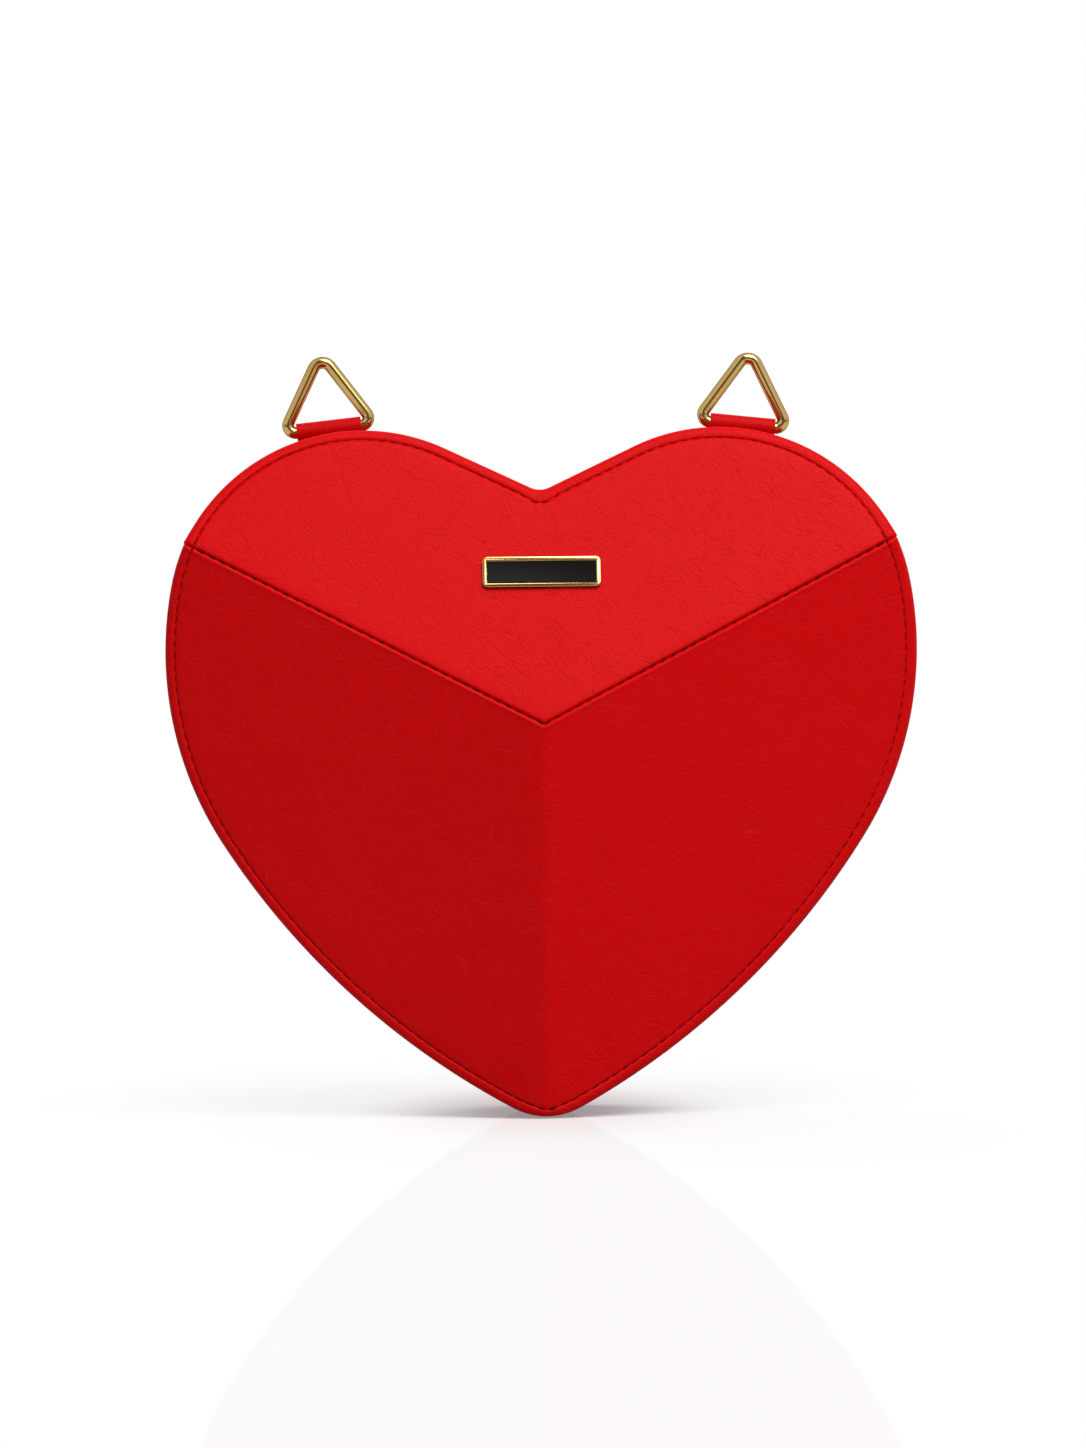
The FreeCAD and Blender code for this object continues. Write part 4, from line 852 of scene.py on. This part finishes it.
def strapRing(name, side, node):
    sizes = ringSizes
    bm = bmesh.new()
    bmesh.ops.create_circle(bm, segments=sizes["sides"], radius=sizes["wire"],
                            matrix=Matrix.Rotation(math.radians(90), 4, "Y"))
    apex = Vector((0, 0, sizes["height"] - sizes["apex"]))
    low = Vector((sizes["half"], 0, sizes["corner"]))
    span = apex - low
    lean = math.atan2(span.z, span.x) - math.acos((sizes["corner"] - sizes["apex"]) / span.length)
    normal = Vector((math.cos(lean), 0, math.sin(lean)))
    leg = apex + normal * sizes["apex"] - low - normal * sizes["corner"]

    def goStraight(edges, way, steps):
        for step in range(steps):
            verts, edges = growEdges(bm, edges)
            bmesh.ops.translate(bm, vec=way / steps, verts=verts)
        return edges

    def goRound(edges, centre, angle):
        made = bmesh.ops.spin(bm, geom=edges, cent=centre, axis=(0, -1, 0), angle=angle,
                              steps=sizes["cornerSteps"], use_duplicate=False)
        return edgesOf(made["geom_last"])

    halfBar = Vector((sizes["half"], 0, 0))
    edges = goStraight(bm.edges[:], halfBar, sizes["barSteps"])
    edges = goRound(edges, low, math.pi / 2 + lean)
    edges = goStraight(edges, leg, sizes["legSteps"])
    edges = goRound(edges, apex, math.pi - 2 * lean)
    edges = goStraight(edges, Vector((leg.x, 0, -leg.z)), sizes["legSteps"])
    edges = goRound(edges, Vector((-low.x, 0, low.z)), math.pi / 2 + lean)
    goStraight(edges, halfBar, sizes["barSteps"])
    bmesh.ops.remove_doubles(bm, verts=bm.verts[:], dist=0.01)
    bmesh.ops.recalc_face_normals(bm, faces=bm.faces[:])
    finishPiece(bm, name, node, ringBrass, (node,), place=barPlace(side), smooth=80)


# Ring tabs: a strip folded round the bar
tabSizes = {"width": 18.8, "leather": 0.85, "outside": 2.66, "leg": 0.9, "foot": 8.4, "columns": 12,
            "legSteps": 5, "foldSteps": 18}


def ringTab(name, side, node):
    sizes = tabSizes
    neck = math.sqrt(sizes["outside"] ** 2 - sizes["leg"] ** 2)
    upLeg = Vector((0, 0, sizes["foot"] - neck))
    swing = 2 * math.pi - 2 * math.atan2(sizes["leg"], neck)
    bm = bmesh.new()
    last = bm.verts.new((-sizes["width"] / 2, sizes["leg"], -sizes["foot"]))
    last = growVertex(bm, last, upLeg, sizes["legSteps"])
    fold = bmesh.ops.spin(bm, geom=[last], cent=(0, 0, 0), axis=(1, 0, 0), angle=swing, steps=sizes["foldSteps"],
                          use_duplicate=False)
    growVertex(bm, fold["geom_last"][0], -upLeg, sizes["legSteps"])
    edges = bm.edges[:]
    for column in range(sizes["columns"]):
        verts, edges = growEdges(bm, edges)
        bmesh.ops.translate(bm, vec=(sizes["width"] / sizes["columns"], 0, 0), verts=verts)
    faceOutward(bm, lambda middle: Vector((0, middle.y, max(0, middle.z))))
    unfolded = sum(f.calc_area() for f in bm.faces) / sizes["width"]
    bmesh.ops.solidify(bm, geom=bm.faces[:], thickness=sizes["leather"])
    piece = finishPiece(bm, name, "back_half", gussetLeather, (node,), place=barPlace(side),
                        smooth=60)


for side, name in ((-1, "left"), (1, "right")):
    strapRing(f"{name}_strap_ring", side, f"{name}_ring")
    ringTab(f"{name}_tab_leather", side, f"{name}_ring_tab")
print("rings and tabs made")


# Metal pieces keep the shape of their solids, with broken edges
metalSizes = {"bevel": 0.25, "pullBevel": 0.2, "badgeBevel": 0.18, "headReach": 1.2, "headZone": 0.6,
              "merge": 0.002, "flat": 2, "sharp": 35, "badgeFront": -0.85, "badgeField": 0.00015}


def brokenEdges(name, node, body, bevel, material=zipperBrass, segments=2, extra=(), reach=0):
    bm = bmesh.new()
    bm.from_mesh(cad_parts[node].data)
    if reach:
        # the heads of closed teeth lie in the gaps of the row across
        middle = drawnPlace.translation.y - heart["zipperY"] / 1000
        heads = [v for v in bm.verts if abs(v.co.y - middle) < metalSizes["headZone"] / 1000]
        for v in heads:
            v.co.y -= math.copysign(reach / 1000, v.co.y - middle)
    bmesh.ops.remove_doubles(bm, verts=bm.verts[:], dist=metalSizes["merge"] / 1000)
    bmesh.ops.dissolve_limit(bm, angle_limit=math.radians(metalSizes["flat"]), verts=bm.verts[:],
                             edges=bm.edges[:])
    sharp = [e for e in bm.edges
             if len(e.link_faces) == 2 and e.calc_face_angle() > math.radians(metalSizes["sharp"])]
    bmesh.ops.bevel(bm, geom=sharp, offset=bevel / 1000, affect="EDGES", segments=segments, profile=0.5,
                    material=-1, clamp_overlap=True)
    return finishPiece(bm, name, body, material, (node,), place=Matrix.Identity(4), smooth=50, extra=extra)


for side in ("upper", "lower"):
    brokenEdges(f"{side}_slider_metal", f"{side}_slider", f"{side}_slider", metalSizes["bevel"])
    brokenEdges(f"{side}_pull_metal", f"{side}_pull", f"{side}_pull", metalSizes["pullBevel"])
for half in ("front", "back"):
    brokenEdges(f"{half}_teeth_metal", f"{half}_zipper_teeth", f"{half}_half", metalSizes["bevel"], segments=1,
                reach=metalSizes["headReach"])
for side in ("left", "right"):
    brokenEdges(f"{side}_stop_metal", f"{side}_zipper_stop", "back_half", metalSizes["bevel"])
badge = brokenEdges("badge_metal", "badge_plate", "front_half", metalSizes["badgeBevel"], ringBrass,
                    extra=(blackEnamel,))
for face in badge.data.polygons:
    # the sunk field is the large face that looks out to the front
    if face.normal.y < metalSizes["badgeFront"] and face.area > metalSizes["badgeField"]:
        face.material_index = 1

for node, material in (("front_upper_board", fibreBoard), ("front_left_board", fibreBoard),
                       ("front_right_board", fibreBoard), ("back_board", fibreBoard),
                       ("badge_washer", plainSteel)):
    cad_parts[node].data.materials.clear()
    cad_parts[node].data.materials.append(material)
print("metal finished")

# Camera, light and floor
shotSizes = {"distance": 1.6, "aside": -0.03, "height": -0.0862, "lens": 142.0, "sensor": 36.0, "roll": 0.65,
             "rim": -0.0579}
cameraData = bpy.data.cameras.new("camera")
cameraData.lens = shotSizes["lens"]
cameraData.sensor_width = shotSizes["sensor"]
camera = bpy.data.objects.new("camera", cameraData)
camera.location = (shotSizes["aside"], shotSizes["rim"] - shotSizes["distance"], shotSizes["height"])
turn = math.atan2(shotSizes["aside"], shotSizes["distance"])
camera.rotation_euler = (math.radians(90), math.radians(shotSizes["roll"]), turn)
scene.collection.objects.link(camera)
scene.camera = camera

middle = Vector((0, -0.04, -0.1))
lampSizes = {"towards": (0.25, -0.545, 0.79), "reach": 2.2, "size": 1.5, "power": 52.5}
fillSizes = {"towards": (-0.35, 0.8, 0.5), "reach": 2.2, "size": 1.5, "power": 24.0}


def softbox(name, sizes):
    lampData = bpy.data.lights.new(name, "AREA")
    lampData.shape = "SQUARE"
    lampData.size = sizes["size"]
    lampData.energy = sizes["power"]
    lamp = bpy.data.objects.new(name, lampData)
    lamp.location = middle + Vector(sizes["towards"]).normalized() * sizes["reach"]
    lamp.rotation_mode = "QUATERNION"
    lamp.rotation_quaternion = (middle - lamp.location).to_track_quat("-Z", "Y")
    scene.collection.objects.link(lamp)
    return lamp


softbox("softbox", lampSizes)
softbox("fill_behind", fillSizes).visible_glossy = False

# the camera sees white all round, and metal mirrors a studio that is white behind and above the purse, with a
# window on each side and a dim room behind the camera
studioSizes = {"sky": 0.27, "room": 0.16, "tilt": 0.5, "glow": (-0.4, 0.2), "window": (0.26, 0.38),
               "sill": (-0.02, 0.16)}
world = bpy.data.worlds.new("studio")
scene.world = world
world.use_nodes = True
world.node_tree.nodes.clear()
add = partial(addNode, world)
facing = add("SeparateXYZ", {0: add("TexCoord").outputs["Generated"]})
raised = add("Math", {0: facing.outputs["Z"], 1: studioSizes["tilt"], 2: facing.outputs["Y"]},
             operation="MULTIPLY_ADD")
glow = add("MapRange", {"Value": raised, "From Min": studioSizes["glow"][0],
                        "From Max": studioSizes["glow"][1], "To Min": studioSizes["room"]}, **eased)
aside = add("Math", {0: facing.outputs["X"]}, operation="ABSOLUTE")
window = add("MapRange", {"Value": aside, "From Min": studioSizes["window"][0],
                          "From Max": studioSizes["window"][1]}, **eased)
lifted = add("MapRange", {"Value": facing.outputs["Z"], "From Min": studioSizes["sill"][0],
                          "From Max": studioSizes["sill"][1]}, **eased)
rays = add("LightPath").outputs
windows = add("Math", {0: window, 1: lifted}, operation="MULTIPLY")
mirrored = add("Math", {0: windows, 1: glow}, operation="MAXIMUM")
plainWhite = add("Math", {0: rays["Is Camera Ray"], 1: mirrored}, operation="MAXIMUM")
seen = add("Math", {0: rays["Is Camera Ray"], 1: rays["Is Glossy Ray"]}, operation="MAXIMUM")
seenToo = add("Math", {0: seen, 1: rays["Is Transmission Ray"]}, operation="MAXIMUM")
skyLight = add("Background", {"Color": (1, 1, 1, 1), "Strength": studioSizes["sky"]})
whiteSky = add("Background", {"Color": (1, 1, 1, 1), "Strength": plainWhite})
skyMix = add("MixShader", {0: seenToo, 1: skyLight, 2: whiteSky})
add("OutputWorld", {"Surface": skyMix})

# polished white acrylic: near the tip it shows its lit shade, which takes the real shadow and, being a little
# grey, also paints a soft shade round the purse; further off it is the white of the studio, and it mirrors faintly
floorSizes = {"near": 0.01, "far": 0.19, "deep": 0.45, "soft": 0.76, "under": 0.35, "underFar": 0.06,
              "white": 1.0, "mirror": 0.05, "bounce": "#A4A4A4", "colour": "#EAEAEA",
              "half": 3.0, "forward": -0.03, "gap": 0.0006}
acrylic, floorShader, floorCoords, add = startMaterial("acrylicFloor")
floorRays = add("LightPath").outputs
floorColour = add("Mix", {"Factor": floorRays["Is Camera Ray"], 6: hexColour(floorSizes["bounce"]),
                          7: hexColour(floorSizes["colour"])}, data_type="RGBA")
feed(acrylic, floorShader, {"Base Color": floorColour.outputs[2], "Roughness": 0.6, "Specular IOR Level": 0.0})
drawnIn = add("VectorMath", {0: floorCoords, 1: (1, floorSizes["deep"], 1)}, operation="MULTIPLY")
fromTip = add("VectorMath", {0: drawnIn}, operation="LENGTH").outputs["Value"]
# painted soft shade: the grey lit floor shows within this ellipse round the tip, and most of all just under it
shadePoolFade = add("MapRange", {"Value": fromTip, "From Min": floorSizes["near"],
                        "From Max": floorSizes["far"], "To Min": floorSizes["soft"]}, **eased)
underTipShadeWedge = add("MapRange", {"Value": fromTip, "From Min": floorSizes["near"],
                         "From Max": floorSizes["underFar"], "To Min": floorSizes["under"]}, **eased)
seenFloor = add("Math", {0: floorRays["Is Camera Ray"], 1: floorRays["Is Glossy Ray"]}, operation="MAXIMUM")
bright = add("Math", {0: shadePoolFade, 1: underTipShadeWedge}, operation="MULTIPLY")
whiten = add("Math", {0: bright, 1: seenFloor}, operation="MULTIPLY")
whiteFloor = add("Emission", {"Color": (1, 1, 1, 1), "Strength": floorSizes["white"]})
floorMix = add("MixShader", {0: whiten, 1: floorShader, 2: whiteFloor})
polish = add("BsdfGlossy", {"Color": (1, 1, 1, 1), "Roughness": 0.02})
polished = add("MixShader", {0: floorSizes["mirror"], 1: floorMix, 2: polish})
feed(acrylic, acrylic.node_tree.nodes["Material Output"], {"Surface": polished})
bm = bmesh.new()
bmesh.ops.create_grid(bm, x_segments=2, y_segments=2, size=floorSizes["half"])
floorMesh = bpy.data.meshes.new("floor")
bm.to_mesh(floorMesh)
bm.free()
floorMesh.materials.append(acrylic)
floor = bpy.data.objects.new("floor", floorMesh)
floor.location = (0, floorSizes["forward"], cadBox[0].z - floorSizes["gap"])
scene.collection.objects.link(floor)

scene.view_settings.view_transform = "Standard"
